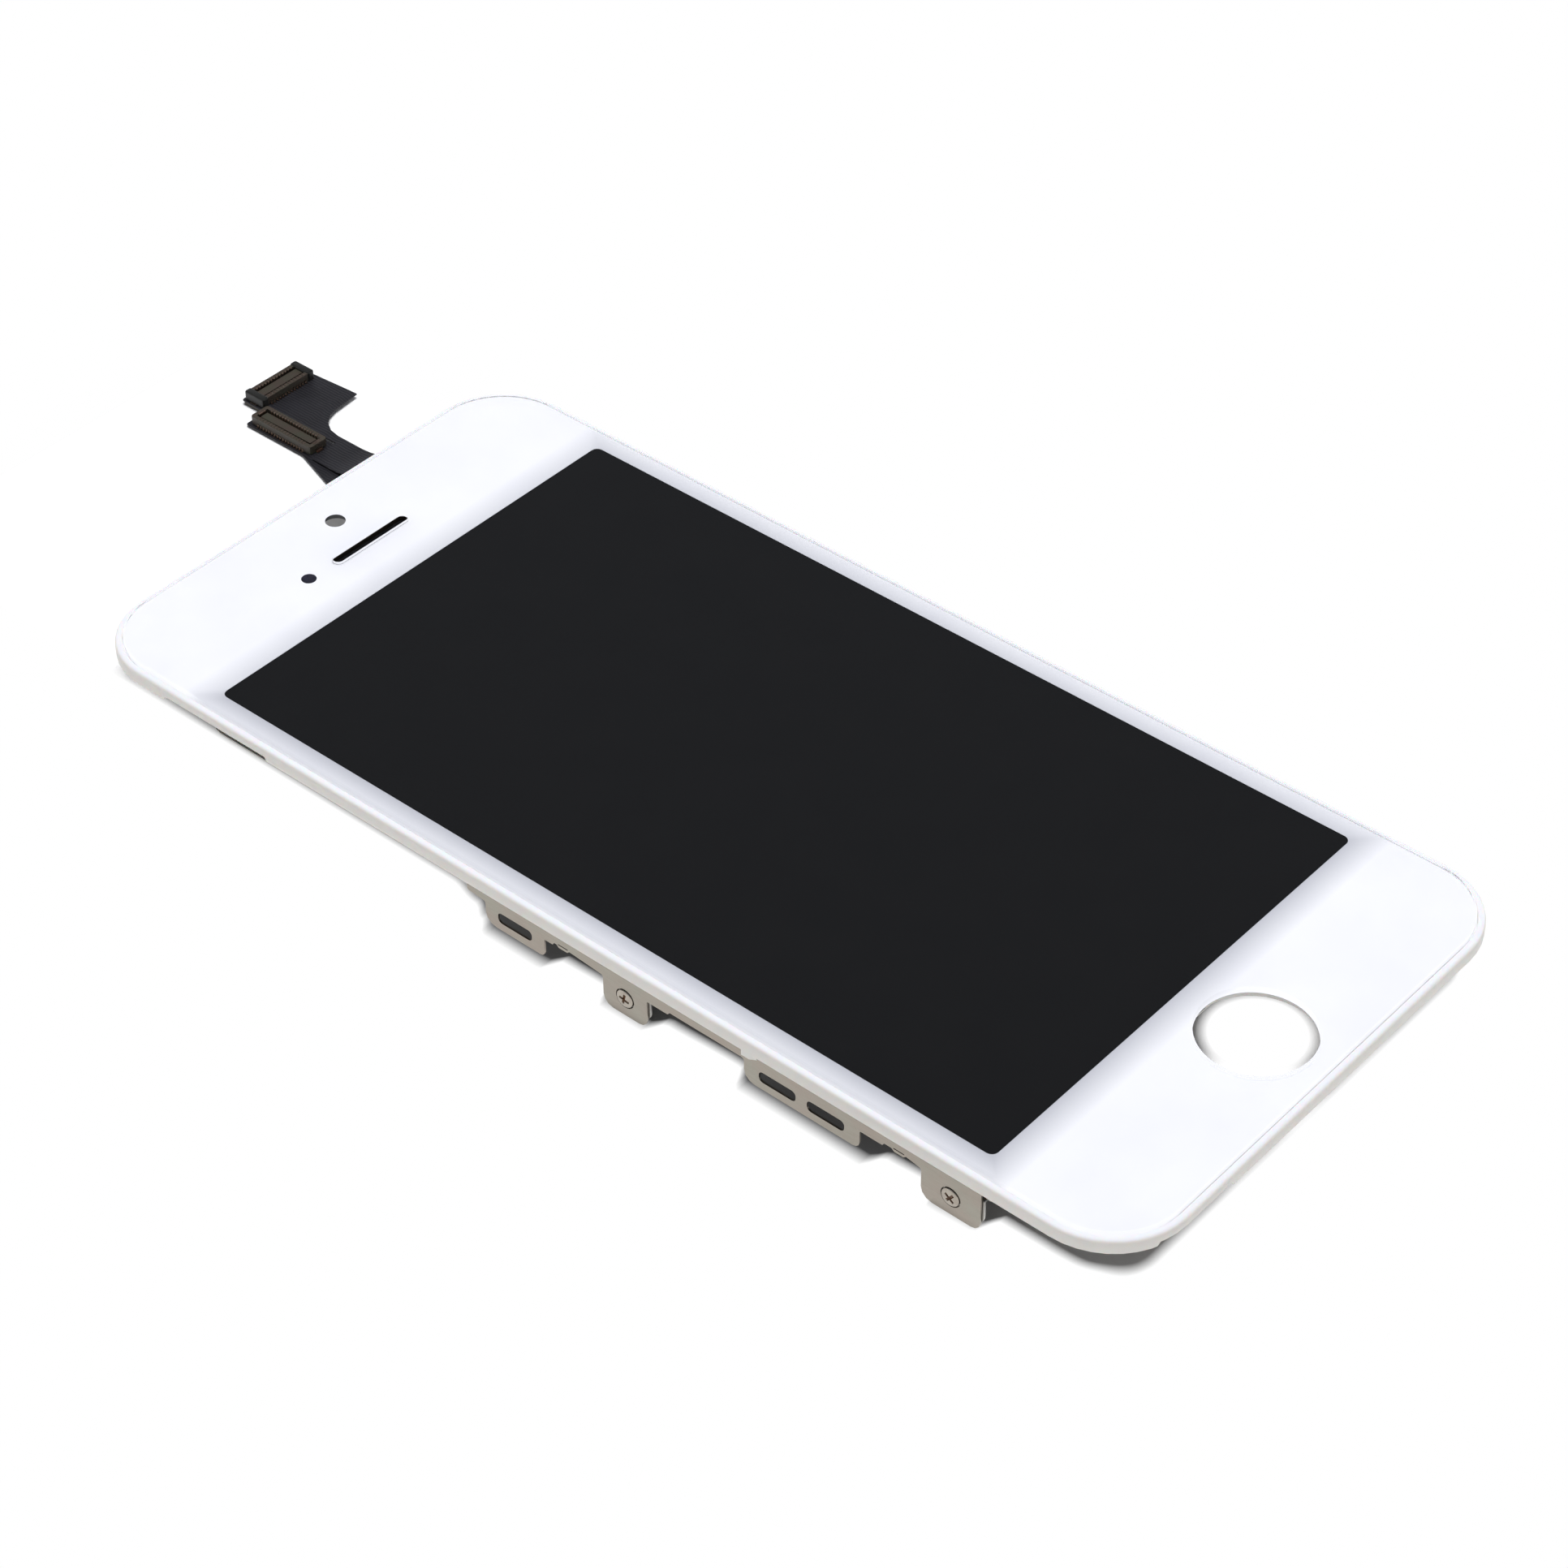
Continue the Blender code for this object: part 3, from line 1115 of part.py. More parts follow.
def connector(name, x, y, size, bottom, material):
    """Board connector: a shallow housing with a moat round its middle island."""
    half_x, half_y = size[0] / 2, size[1] / 2

    def loop(inset):
        radius = max(CONNECTOR_CORNER - inset, BOND_LINE)
        maker = box(x - half_x + inset, y - half_y + inset, x + half_x - inset, y + half_y - inset, radius, 2)
        return maker()

    top = bottom + CONNECTOR_HEIGHT
    floor = bottom + CONNECTOR_FLOOR
    island = CONNECTOR_WALL + CONNECTOR_ISLAND * 0.6
    levels = [(0.0, bottom), (0.0, top), (CONNECTOR_WALL, top), (CONNECTOR_WALL, floor), (island, floor)]
    levels.append((island, top - CONNECTOR_ISLAND_DROP))
    return lofted(name, [(loop(inset), z) for inset, z in levels], material)


def build_flexes(finishes):
    """Display and touch circuits with their stiffeners and board connectors."""
    black = finishes["black_flex"]
    half = TAIL_WIDTH / 2
    bond_y = CELL_Y + CHIP_SETBACK + CHIP_WIDTH + CHIP_SETBACK
    display_start = (ARRAY_TOP_Y, ARRAY_TOP + BOND_LINE + FLEX_THICKNESS)
    display_end = (FLEX_END_Y + FLEX_SOFT_CORNER, DISPLAY_PAD_TOP)
    run_y = ARRAY_TOP_Y + DISPLAY_NOTCH_LENGTH
    pad_left = DISPLAY_TAIL_X + DISPLAY_PAD_SHIFT
    pad_right = pad_left + DISPLAY_PAD_WIDTH
    pad_y = FLEX_END_Y + PAD_RUN
    pad_end = pad_y + DISPLAY_CONNECTOR_SIZE[1] + PAD_MARGIN
    display_corners = [
        (DISPLAY_TAIL_X + half, bond_y, FLEX_CORNER),
        (DISPLAY_TAIL_X + half, run_y, FLEX_SOFT_CORNER),
        (DISPLAY_TAIL_X + DISPLAY_NECK_RIGHT, FLEX_END_Y, FLEX_SOFT_CORNER),
        (pad_right, pad_y, FLEX_CORNER),
        (pad_right, pad_end, FLEX_CORNER),
        (pad_left, pad_end, FLEX_CORNER),
        (pad_left, pad_y + PAD_TAPER, 2 * FLEX_SOFT_CORNER),
        (DISPLAY_TAIL_X - DISPLAY_NECK_LEFT, FLEX_END_Y, 2 * FLEX_SOFT_CORNER),
        (DISPLAY_TAIL_X - half, run_y, FLEX_SOFT_CORNER),
        (DISPLAY_TAIL_X - half, bond_y, FLEX_CORNER),
    ]
    flex("display_flex", display_corners, display_start, display_end, black)
    inset = STIFFENER_INSET
    stiffener_top = DISPLAY_PAD_TOP - FLEX_THICKNESS - BOND_LINE
    backing = box(pad_left + inset, pad_y + inset, pad_right - inset, pad_end - inset, FLEX_CORNER, 3)
    plate("display_stiffener", [backing], FLOOR, stiffener_top, finishes["stiffener"])
    connector(
        "display_connector",
        (pad_left + pad_right) / 2,
        (pad_y + pad_end) / 2,
        DISPLAY_CONNECTOR_SIZE,
        DISPLAY_PAD_TOP + BOND_LINE,
        finishes["connector_plastic"],
    )

    tail_end = WINDOW_Y + TOUCH_TAIL_RISE
    tail_start = tail_end - FLEX_BOND_LENGTH
    touch_start = (tail_end + TOUCH_LEAD, TOUCH_BOTTOM - BOND_LINE)
    touch_end = (FLEX_END_Y + TOUCH_LANDING, TOUCH_PAD_TOP)
    step_y = pad_y - TOUCH_STEP
    inner_x = pad_right + PAD_GAP
    outer_x = TOUCH_TAIL_X + TOUCH_PAD_REACH
    end_x = outer_x - TOUCH_PAD_TAPER
    left_x = pad_left + TOUCH_PAD_INSET
    elbow_y = FLEX_END_Y + TOUCH_ELBOW_RUN
    far_y = pad_end + PAD_GAP
    last_y = far_y + TOUCH_CONNECTOR_SIZE[1] + PAD_MARGIN
    touch_corners = [
        (TOUCH_TAIL_X + half, tail_start, FLEX_CORNER),
        (TOUCH_TAIL_X + half, tail_end + TAIL_RUN, FLEX_SOFT_CORNER),
        (TOUCH_TAIL_X + TOUCH_NECK_RIGHT, FLEX_END_Y, FLEX_SOFT_CORNER),
        (TOUCH_TAIL_X + TOUCH_NECK_RIGHT, elbow_y, TOUCH_ELBOW_RADIUS),
        (outer_x, elbow_y + TOUCH_PAD_TAPER, FLEX_CORNER / 3),
        (end_x, last_y, FLEX_CORNER),
        (left_x, last_y, FLEX_CORNER),
        (left_x, far_y, FLEX_CORNER),
        (inner_x, far_y, FLEX_CORNER / 2),
        (inner_x, step_y, FLEX_CORNER / 2),
        (TOUCH_TAIL_X - TOUCH_NECK_LEFT + PAD_GAP, step_y, FLEX_CORNER),
        (TOUCH_TAIL_X - TOUCH_NECK_LEFT, FLEX_END_Y, FLEX_SOFT_CORNER),
        (TOUCH_TAIL_X - half, tail_end + TAIL_RUN, FLEX_SOFT_CORNER),
        (TOUCH_TAIL_X - half, tail_start, FLEX_CORNER),
    ]
    flex("touch_flex", touch_corners, touch_start, touch_end, black)
    backing_end = end_x - PAD_GAP
    backing_y = elbow_y + BACKING_SETBACK
    backing = filleted(
        [
            (inner_x + inset, backing_y, FLEX_CORNER),
            (backing_end, backing_y, FLEX_CORNER),
            (backing_end, last_y - inset, FLEX_CORNER),
            (left_x + inset, last_y - inset, FLEX_CORNER),
            (left_x + inset, far_y + inset, FLEX_CORNER),
            (inner_x + inset, far_y + inset, FLEX_CORNER / 3),
        ]
    )
    stiffener_top = TOUCH_PAD_TOP - FLEX_THICKNESS - BOND_LINE
    plate("touch_stiffener", [backing], FLOOR, stiffener_top, finishes["stiffener"])
    connector(
        "touch_connector",
        (left_x + end_x) / 2,
        (far_y + last_y) / 2,
        TOUCH_CONNECTOR_SIZE,
        TOUCH_PAD_TOP + BOND_LINE,
        finishes["connector_plastic"],
    )


def build():
    """Clears the scene and models the whole assembly under one empty."""
    for old in list(bpy.data.objects):
        bpy.data.objects.remove(old)
    finishes = make_finishes()
    build_glass(finishes)
    build_cell(finishes)
    build_backlight(finishes)
    build_rim(finishes)
    build_seats(finishes)
    build_brackets(finishes)
    build_shield(finishes)
    build_fasteners(finishes)
    build_flexes(finishes)
    carrier = bpy.data.objects.new("screen_assembly", None)
    bpy.context.scene.collection.objects.link(carrier)
    for made in bpy.data.objects:
        if made is not carrier:
            made.parent = carrier


build()
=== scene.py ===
"""Looks of the phone screen assembly: its finishes, its fine pieces, the studio and the camera.

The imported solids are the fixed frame, in metres: the front of the glass is z = 0, +Y runs towards
the earpiece and the assembly lies on its side tabs. Each sub-assembly is a class whose fields are
its sizes in millimetres. Solids whose shape is already right are dressed, or copied with their
edges broken, and the pieces that need a finer surface are worked out here as arrays.
"""

import logging
import math
from dataclasses import dataclass
from enum import Enum

import bmesh
import bpy
import numpy as np
from mathutils import Matrix, Vector


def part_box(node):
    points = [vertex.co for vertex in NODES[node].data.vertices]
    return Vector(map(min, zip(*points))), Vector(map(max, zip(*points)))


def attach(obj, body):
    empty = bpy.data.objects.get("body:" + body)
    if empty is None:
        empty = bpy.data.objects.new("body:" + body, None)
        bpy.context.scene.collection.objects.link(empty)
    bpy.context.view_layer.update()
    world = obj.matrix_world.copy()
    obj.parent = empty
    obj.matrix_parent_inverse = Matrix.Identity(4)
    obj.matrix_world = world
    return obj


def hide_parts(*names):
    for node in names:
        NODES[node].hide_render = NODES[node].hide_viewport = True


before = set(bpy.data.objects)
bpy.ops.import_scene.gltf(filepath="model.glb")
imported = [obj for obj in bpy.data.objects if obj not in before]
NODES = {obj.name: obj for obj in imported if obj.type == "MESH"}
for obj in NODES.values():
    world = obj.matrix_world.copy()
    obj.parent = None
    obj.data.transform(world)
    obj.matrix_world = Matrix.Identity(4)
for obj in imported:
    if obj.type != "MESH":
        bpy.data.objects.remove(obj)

MM = 0.001
BODY = "root"
SIDES = ("left", "right", "bottom", "top")

logging.basicConfig(level=logging.INFO, format="%(message)s")
log = logging.getLogger("screen_assembly")

Colour = tuple[float, float, float]
Paint = tuple[int, int, int]


def display_colour(paint: Paint) -> Colour:
    """Linear colour of an 8-bit display colour.

    Args:
        paint: the three channels, 0 to 255.

    Returns:
        The colour in linear light.
    """
    channels = np.array(paint) / 255.0
    linear = np.where(channels <= 0.04045, channels / 12.92, ((channels + 0.055) / 1.055) ** 2.4)
    return tuple(float(value) for value in linear)


# Shader groups


class Graph:
    """A node tree with short calls to add nodes and to join or set their sockets."""

    def __init__(self, tree: bpy.types.NodeTree) -> None:
        """Takes over the tree."""
        self.tree = tree

    def put(self, value: object, socket: bpy.types.NodeSocket) -> None:
        """Joins an output to the input socket, or sets the input to a value."""
        if isinstance(value, bpy.types.NodeSocket):
            self.tree.links.new(value, socket)
        elif isinstance(value, tuple) and len(value) == 3 and socket.type == "RGBA":
            socket.default_value = (*value, 1.0)
        else:
            socket.default_value = value

    def feed(self, node: bpy.types.Node, name: str, value: object) -> None:
        """Joins or sets the node's input of that name."""
        self.put(value, next(socket for socket in node.inputs if socket.name == name and socket.enabled))

    def add(self, kind: str, settings: dict | None = None, **inputs: object) -> bpy.types.Node:
        """Adds a node.

        Args:
            kind: the node's type without its ShaderNode prefix.
            settings: properties of the node.
            inputs: a value or an output socket for each input, by name with _ for a space.

        Returns:
            The node.
        """
        node = self.tree.nodes.new("ShaderNode" + kind)
        for name, value in (settings or {}).items():
            setattr(node, name, value)
        for name, value in inputs.items():
            self.feed(node, name.replace("_", " "), value)
        return node

    def place(self) -> bpy.types.NodeSocket:
        """Place on the object, in metres."""
        return self.add("TexCoord").outputs["Object"]

    def axes(self) -> bpy.types.NodeOutputs:
        """Sockets X, Y and Z of the place on the object."""
        return self.add("SeparateXYZ", Vector=self.place()).outputs

    def noise(
        self, place: object, scale: object, detail: float, roughness: float = 0.5
    ) -> bpy.types.NodeSocket:
        """Height of a noise at the place."""
        node = self.add("TexNoise", Vector=place, Scale=scale, Detail=detail, Roughness=roughness)
        return node.outputs[0]

    def maths(self, operation: str, *values: object) -> bpy.types.NodeSocket:
        """Result of a Math node on up to three values or sockets."""
        node = self.add("Math", {"operation": operation})
        for value, socket in zip(values, node.inputs):
            self.put(value, socket)
        return node.outputs[0]

    def measure(self, operation: str, first: object, second: object) -> bpy.types.NodeSocket:
        """Number that a Vector Math node gets from two vectors."""
        node = self.add("VectorMath", {"operation": operation})
        self.put(first, node.inputs[0])
        self.put(second, node.inputs[1])
        return node.outputs["Value"]

    def past(self, value: bpy.types.NodeSocket, edge: object) -> bpy.types.NodeSocket:
        """How far in mm a coordinate in metres lies past an edge in mm, on either side."""
        reach = self.maths("MULTIPLY", self.maths("ABSOLUTE", value), 1.0 / MM)
        return self.maths("SUBTRACT", reach, edge)

    def blend(self, mask: object, first: object, second: object) -> bpy.types.NodeSocket:
        """Colour that goes from first to second with the mask."""
        node = self.add("Mix", {"data_type": "RGBA"})
        for index, value in ((0, mask), (6, first), (7, second)):
            self.put(value, node.inputs[index])
        return node.outputs[2]

    def span(
        self, value: object, low: object, high: object, start: object = 0.0, end: object = 1.0
    ) -> bpy.types.NodeSocket:
        """Value carried from the range start to end into the range low to high, and held there."""
        names = {"Value": value, "From Min": start, "From Max": end, "To Min": low, "To Max": high}
        node = self.add("MapRange", {"clamp": True})
        for name, entry in names.items():
            self.feed(node, name, entry)
        return node.outputs[0]


class Socket(Enum):
    """Kinds of socket that a shader group shows."""

    VALUE = "NodeSocketFloat"
    COLOUR = "NodeSocketColor"
    VECTOR = "NodeSocketVector"


def new_group(name: str, inputs: dict[str, tuple[Socket, object]], outputs: dict[str, Socket]) -> tuple:
    """Starts a shader group.

    Args:
        name: the group's name.
        inputs: kind and default of each input, by name.
        outputs: kind of each output, by name.

    Returns:
        The group's graph, and the sockets that give its inputs and take its outputs.
    """
    tree = bpy.data.node_groups.new(name, "ShaderNodeTree")
    for label, (kind, default) in inputs.items():
        socket = tree.interface.new_socket(label, in_out="INPUT", socket_type=kind.value)
        socket.default_value = default
    for label, kind in outputs.items():
        tree.interface.new_socket(label, in_out="OUTPUT", socket_type=kind.value)
    given, out = (tree.nodes.new(f"NodeGroup{end}") for end in ("Input", "Output"))
    return Graph(tree), given.outputs, out.inputs


def build_mottle() -> bpy.types.NodeTree:
    """Slow changes of tone over a surface: noise of the patch size, mixed from dark to light."""
    graph, given, out = new_group(
        "tone_mottle",
        {
            "Dark": (Socket.COLOUR, (0.0, 0.0, 0.0, 1.0)),
            "Light": (Socket.COLOUR, (1.0, 1.0, 1.0, 1.0)),
            "Patch mm": (Socket.VALUE, 4.0),
        },
        {"Color": Socket.COLOUR},
    )
    scale = graph.maths("DIVIDE", 1.0 / MM, given["Patch mm"])
    mask = graph.span(graph.noise(graph.place(), scale, 4.0, 0.55), 0.0, 1.0, 0.35, 0.65)
    graph.put(graph.blend(mask, given["Dark"], given["Light"]), out["Color"])
    return graph.tree


def build_grain() -> bpy.types.NodeTree:
    """Fine grain of a moulded, printed or rolled surface, which may be drawn out along an axis."""
    graph, given, out = new_group(
        "fine_grain",
        {"Grain mm": (Socket.VALUE, 0.2), "Stretch": (Socket.VECTOR, (1.0, 1.0, 1.0))},
        {"Height": Socket.VALUE},
    )
    drawn = graph.add("Mapping", Vector=graph.place(), Scale=given["Stretch"])
    scale = graph.maths("DIVIDE", 1.0 / MM, given["Grain mm"])
    graph.put(graph.noise(drawn.outputs[0], scale, 5.0, 0.6), out["Height"])
    return graph.tree


def build_edge_wear_and_highlight() -> bpy.types.NodeTree:
    """Mask that is high where the surface turns sharply, broken up by noise: it places edge wear, and on the
    rim a painted highlight.
    """
    graph, given, out = new_group(
        "edge_wear_and_highlight",
        {"Width mm": (Socket.VALUE, 0.1), "Amount": (Socket.VALUE, 1.0)},
        {"Mask": Socket.VALUE},
    )
    rounded = graph.add("Bevel", {"samples": 4}, Radius=graph.maths("MULTIPLY", given["Width mm"], MM))
    geometry = graph.add("NewGeometry")
    facing = graph.measure("DOT_PRODUCT", rounded.outputs[0], geometry.outputs["Normal"])
    turned = graph.span(facing, 1.0, 0.0, 0.75, 0.99)
    flecks_per_metre = 1800.0
    broken = graph.span(graph.noise(graph.place(), flecks_per_metre, 3.0), 0.2, 1.0, 0.35, 0.6)
    mask = graph.maths("MULTIPLY", turned, broken)
    graph.put(graph.maths("MULTIPLY", mask, given["Amount"]), out["Mask"])
    return graph.tree


def build_frame_shade() -> bpy.types.NodeTree:
    """Mask of painted shade that is high beside a rectangle about the origin and fades away from it, side by
    side.
    """
    levels = {"Half X mm": 10.0, "Half Y mm": 10.0, "Reach mm": 1.0}
    levels |= {f"Share {side}": 1.0 for side in SIDES}
    inputs = {name: (Socket.VALUE, level) for name, level in levels.items()}
    graph, given, out = new_group("frame_shade", inputs, {"Mask": Socket.VALUE})
    axes = graph.axes()
    past_x, past_y = (graph.past(axes[axis], given[f"Half {axis} mm"]) for axis in ("X", "Y"))
    near = graph.span(graph.maths("MAXIMUM", past_x, past_y), 1.0, 0.0, 0.0, given["Reach mm"])
    change_over = 10.0 * MM
    sideways = graph.span(axes["X"], given["Share left"], given["Share right"], -change_over, change_over)
    endways = graph.span(axes["Y"], given["Share bottom"], given["Share top"], -change_over, change_over)
    at_side = graph.span(graph.maths("SUBTRACT", past_x, past_y), 0.0, 1.0, -1.0, 1.0)
    change = graph.maths("MULTIPLY", at_side, graph.maths("SUBTRACT", sideways, endways))
    graph.put(graph.maths("MULTIPLY", near, graph.maths("ADD", endways, change)), out["Mask"])
    return graph.tree


def build_tracks() -> bpy.types.NodeTree:
    """Copper tracks under a flexible circuit's cover: raised stripes that run along it."""
    graph, given, out = new_group(
        "circuit_tracks",
        {"Pitch mm": (Socket.VALUE, 0.3), "Wander mm": (Socket.VALUE, 0.3)},
        {"Height": Socket.VALUE},
    )
    axes = graph.axes()
    bends_per_metre = 120.0
    run = graph.maths("MULTIPLY", axes["Y"], bends_per_metre)
    bend = graph.add("TexNoise", {"noise_dimensions": "1D"}, W=run).outputs[0]
    shift = graph.maths("MULTIPLY", bend, graph.maths("MULTIPLY", given["Wander mm"], MM))
    across = graph.maths("ADD", axes["X"], shift)
    turns = graph.maths("DIVIDE", across, graph.maths("MULTIPLY", given["Pitch mm"], MM))
    wave = graph.maths("SINE", graph.maths("MULTIPLY", turns, math.tau))
    graph.put(graph.span(wave, 0.0, 1.0, -0.2, 0.4), out["Height"])
    return graph.tree


class Effects:
    """The shader groups that the finishes share, each built once."""

    def __init__(self) -> None:
        """Builds every group."""
        self.mottle = build_mottle()
        self.grain = build_grain()
        self.edge_wear_and_highlight = build_edge_wear_and_highlight()
        self.frame_shade = build_frame_shade()
        self.tracks = build_tracks()


class Coat:
    """A material under way: its graph, its Principled shader and calls that place the groups."""

    def __init__(self, name: str, effects: Effects) -> None:
        """Starts the material with a plain Principled shader."""
        self.material = bpy.data.materials.new(name)
        self.material.use_nodes = True
        self.graph = Graph(self.material.node_tree)
        self.surface = self.material.node_tree.nodes["Principled BSDF"]
        self.effects = effects

    def group(self, tree: bpy.types.NodeTree, **inputs: object) -> bpy.types.Node:
        """Places a shader group with its own values, by input name with _ for a space."""
        node = self.graph.tree.nodes.new("ShaderNodeGroup")
        node.node_tree = tree
        for name, value in inputs.items():
            self.graph.feed(node, name.replace("_", " "), value)
        return node

    def feed(self, **inputs: object) -> None:
        """Sets or joins inputs of the Principled shader, by name with _ for a space."""
        for name, value in inputs.items():
            self.graph.feed(self.surface, name.replace("_", " "), value)

    def tone(self, dark: Paint, light: Paint, patch_mm: float) -> bpy.types.NodeSocket:
        """Colour that wanders between two shades in patches."""
        ends = {"Dark": display_colour(dark), "Light": display_colour(light)}
        return self.group(self.effects.mottle, Patch_mm=patch_mm, **ends).outputs["Color"]

    def wear_and_highlight(
        self, colour: bpy.types.NodeSocket, bright: Paint, width_mm: float, amount: float
    ) -> bpy.types.NodeSocket:
        """The colour with its sharp edges brightened: edge wear, and on the rim a painted highlight along the
        crest.
        """
        edges = self.group(self.effects.edge_wear_and_highlight, Width_mm=width_mm, Amount=amount)
        return self.graph.blend(edges.outputs["Mask"], colour, display_colour(bright))

    def bump(self, height: bpy.types.NodeSocket, depth_mm: float) -> None:
        """Raises the surface by a height map of the given depth."""
        node = self.graph.add("Bump", Height=height, Distance=depth_mm * MM, Strength=1.0)
        self.feed(Normal=node.outputs[0])

    def grained(
        self, grain_mm: float, rough: tuple[float, float], relief_mm: float, stretch: Colour = (1.0, 1.0, 1.0)
    ) -> None:
        """Fine grain that raises the surface and carries its roughness from low to high."""
        grain = self.group(self.effects.grain, Grain_mm=grain_mm, Stretch=stretch).outputs["Height"]
        self.feed(Roughness=self.graph.span(grain, *rough, 0.3, 0.7))
        self.bump(grain, relief_mm)

    def clear_where(self, mask: bpy.types.NodeSocket) -> None:
        """Mixes the shader towards a plain clear one, which bends and reflects nothing."""
        clear = self.graph.add("BsdfTransparent")
        mixed = self.graph.add("MixShader", Fac=mask)
        output = next(node for node in self.graph.tree.nodes if node.type == "OUTPUT_MATERIAL")
        self.graph.put(self.surface.outputs[0], mixed.inputs[1])
        self.graph.put(clear.outputs[0], mixed.inputs[2])
        self.graph.put(mixed.outputs[0], output.inputs[0])


# Finishes


@dataclass(frozen=True)
class ClearGlass:
    """Polished clear glass with faint wiping marks and a back that is bonded to what it covers.

    Light passes the bonded back straight, as it does where a layer touches the glass, and shadow
    rays and scattered light pass the whole pane.
    """

    name: str
    tint: Paint
    back_mm: float
    ior: float = 1.5
    polish: tuple[float, float] = (0.012, 0.05)
    wiping_mm: float = 9.0
    wiping_stretch: Colour = (0.35, 1.6, 1.0)

    def material(self, effects: Effects) -> bpy.types.Material:
        """Builds the material."""
        coat = Coat(self.name, effects)
        wiping = coat.group(effects.grain, Grain_mm=self.wiping_mm, Stretch=self.wiping_stretch)
        rough = coat.graph.span(wiping.outputs["Height"], *self.polish, 0.45, 0.75)
        coat.feed(Base_Color=display_colour(self.tint), Roughness=rough)
        coat.feed(IOR=self.ior, Transmission_Weight=1.0)
        back = coat.graph.maths("LESS_THAN", coat.graph.axes()["Z"], -self.back_mm * MM)
        rays = coat.graph.add("LightPath").outputs
        scattered = coat.graph.maths("MAXIMUM", rays["Is Shadow Ray"], rays["Is Diffuse Ray"])
        coat.clear_where(coat.graph.maths("MAXIMUM", back, scattered))
        return coat.material


@dataclass(frozen=True)
class BondedFilm:
    """Clear layer bonded into the stack, which barely shows."""

    name: str
    tint: Colour
    opacity: float
    light: Colour = (0.9, 0.93, 0.96)
    patch_mm: float = 6.0
    rough: float = 0.3
    specular: float = 0.1

    def material(self, effects: Effects) -> bpy.types.Material:
        """Builds the material."""
        coat = Coat(self.name, effects)
        tone = coat.group(effects.mottle, Dark=self.tint, Light=self.light, Patch_mm=self.patch_mm)
        coat.feed(Base_Color=tone.outputs["Color"], Roughness=self.rough)
        coat.feed(Alpha=self.opacity, Specular_IOR_Level=self.specular)
        return coat.material


@dataclass(frozen=True)
class Moulded:
    """Moulded, printed or laminated surface: a mottled colour with fine grain, brightened edges and, where
    given, a painted lighter top.
    """

    name: str
    dark: Paint
    light: Paint
    patch_mm: float = 5.0
    grain_mm: float = 0.12
    relief_mm: float = 0.004
    rough: tuple[float, float] = (0.35, 0.5)
    specular: float = 0.5
    wear_and_highlight: Paint | None = None
    wear_and_highlight_mm: float = 0.08
    wear_and_highlight_amount: float = 0.5
    soft_mm: float = 0.0
    soft: float = 0.25
    painted_top_light: Paint | None = None

    def material(self, effects: Effects) -> bpy.types.Material:
        """Builds the material."""
        coat = Coat(self.name, effects)
        colour = coat.tone(self.dark, self.light, self.patch_mm)
        # Brighter edges: on the rim a painted highlight along the crest, elsewhere edge wear.
        if self.wear_and_highlight:
            colour = coat.wear_and_highlight(colour, self.wear_and_highlight, self.wear_and_highlight_mm, self.wear_and_highlight_amount)
        # Painted top light: faces that look up are drawn a lighter, bluer white, as if lit from above.
        if self.painted_top_light:
            geometry = coat.graph.add("NewGeometry")
            facing = coat.graph.add("SeparateXYZ", Vector=geometry.outputs["Normal"])
            painted_top_light = coat.graph.span(facing.outputs["Z"], 0.0, 1.0, 0.5, 0.9)
            colour = coat.graph.blend(painted_top_light, colour, display_colour(self.painted_top_light))
        coat.feed(Base_Color=colour, Specular_IOR_Level=self.specular)
        if self.soft_mm:
            coat.feed(Subsurface_Weight=self.soft, Subsurface_Scale=self.soft_mm * MM)
        coat.grained(self.grain_mm, self.rough, self.relief_mm)
        return coat.material


@dataclass(frozen=True)
class PrintedBorder:
    """White ink behind the glass, with painted shade beside the display window, stronger on some sides."""

    name: str
    dark: Paint
    light: Paint
    painted_shade_beside_window: Paint
    half_window: tuple[float, float]
    painted_shade_reach_mm: float
    painted_shade_shares: tuple[float, float, float, float]
    patch_mm: float = 9.0
    grain_mm: float = 0.12
    relief_mm: float = 0.001
    rough: tuple[float, float] = (0.45, 0.6)
    specular: float = 0.15

    def material(self, effects: Effects) -> bpy.types.Material:
        """Builds the material."""
        coat = Coat(self.name, effects)
        half_x, half_y = self.half_window
        # Painted shade: the ink darkens towards the window's edge, by a share on each side.
        shade = coat.group(effects.frame_shade, Half_X_mm=half_x, Half_Y_mm=half_y, Reach_mm=self.painted_shade_reach_mm)
        for side, share in zip(SIDES, self.painted_shade_shares):
            coat.graph.feed(shade, f"Share {side}", share)
        tone = coat.tone(self.dark, self.light, self.patch_mm)
        colour = coat.graph.blend(shade.outputs["Mask"], tone, display_colour(self.painted_shade_beside_window))
        coat.feed(Base_Color=colour, Specular_IOR_Level=self.specular)
        coat.grained(self.grain_mm, self.rough, self.relief_mm)
        return coat.material


@dataclass(frozen=True)
class RolledMetal:
    """Rolled or stamped metal: drawn grain, slow changes of tone, dull patches and bright edges."""

    name: str
    dark: Paint
    light: Paint
    bright: Paint
    stretch: Colour = (1.0, 0.08, 1.0)
    grain_mm: float = 0.12
    relief_mm: float = 0.003
    rough: tuple[float, float] = (0.3, 0.46)
    patch_mm: float = 3.0
    wear_and_highlight_mm: float = 0.07
    wear_and_highlight_amount: float = 0.7

    def material(self, effects: Effects) -> bpy.types.Material:
        """Builds the material."""
        coat = Coat(self.name, effects)
        tone = coat.tone(self.dark, self.light, self.patch_mm)
        coat.feed(Base_Color=coat.wear_and_highlight(tone, self.bright, self.wear_and_highlight_mm, self.wear_and_highlight_amount), Metallic=1.0)
        coat.grained(self.grain_mm, self.rough, self.relief_mm, self.stretch)
        return coat.material


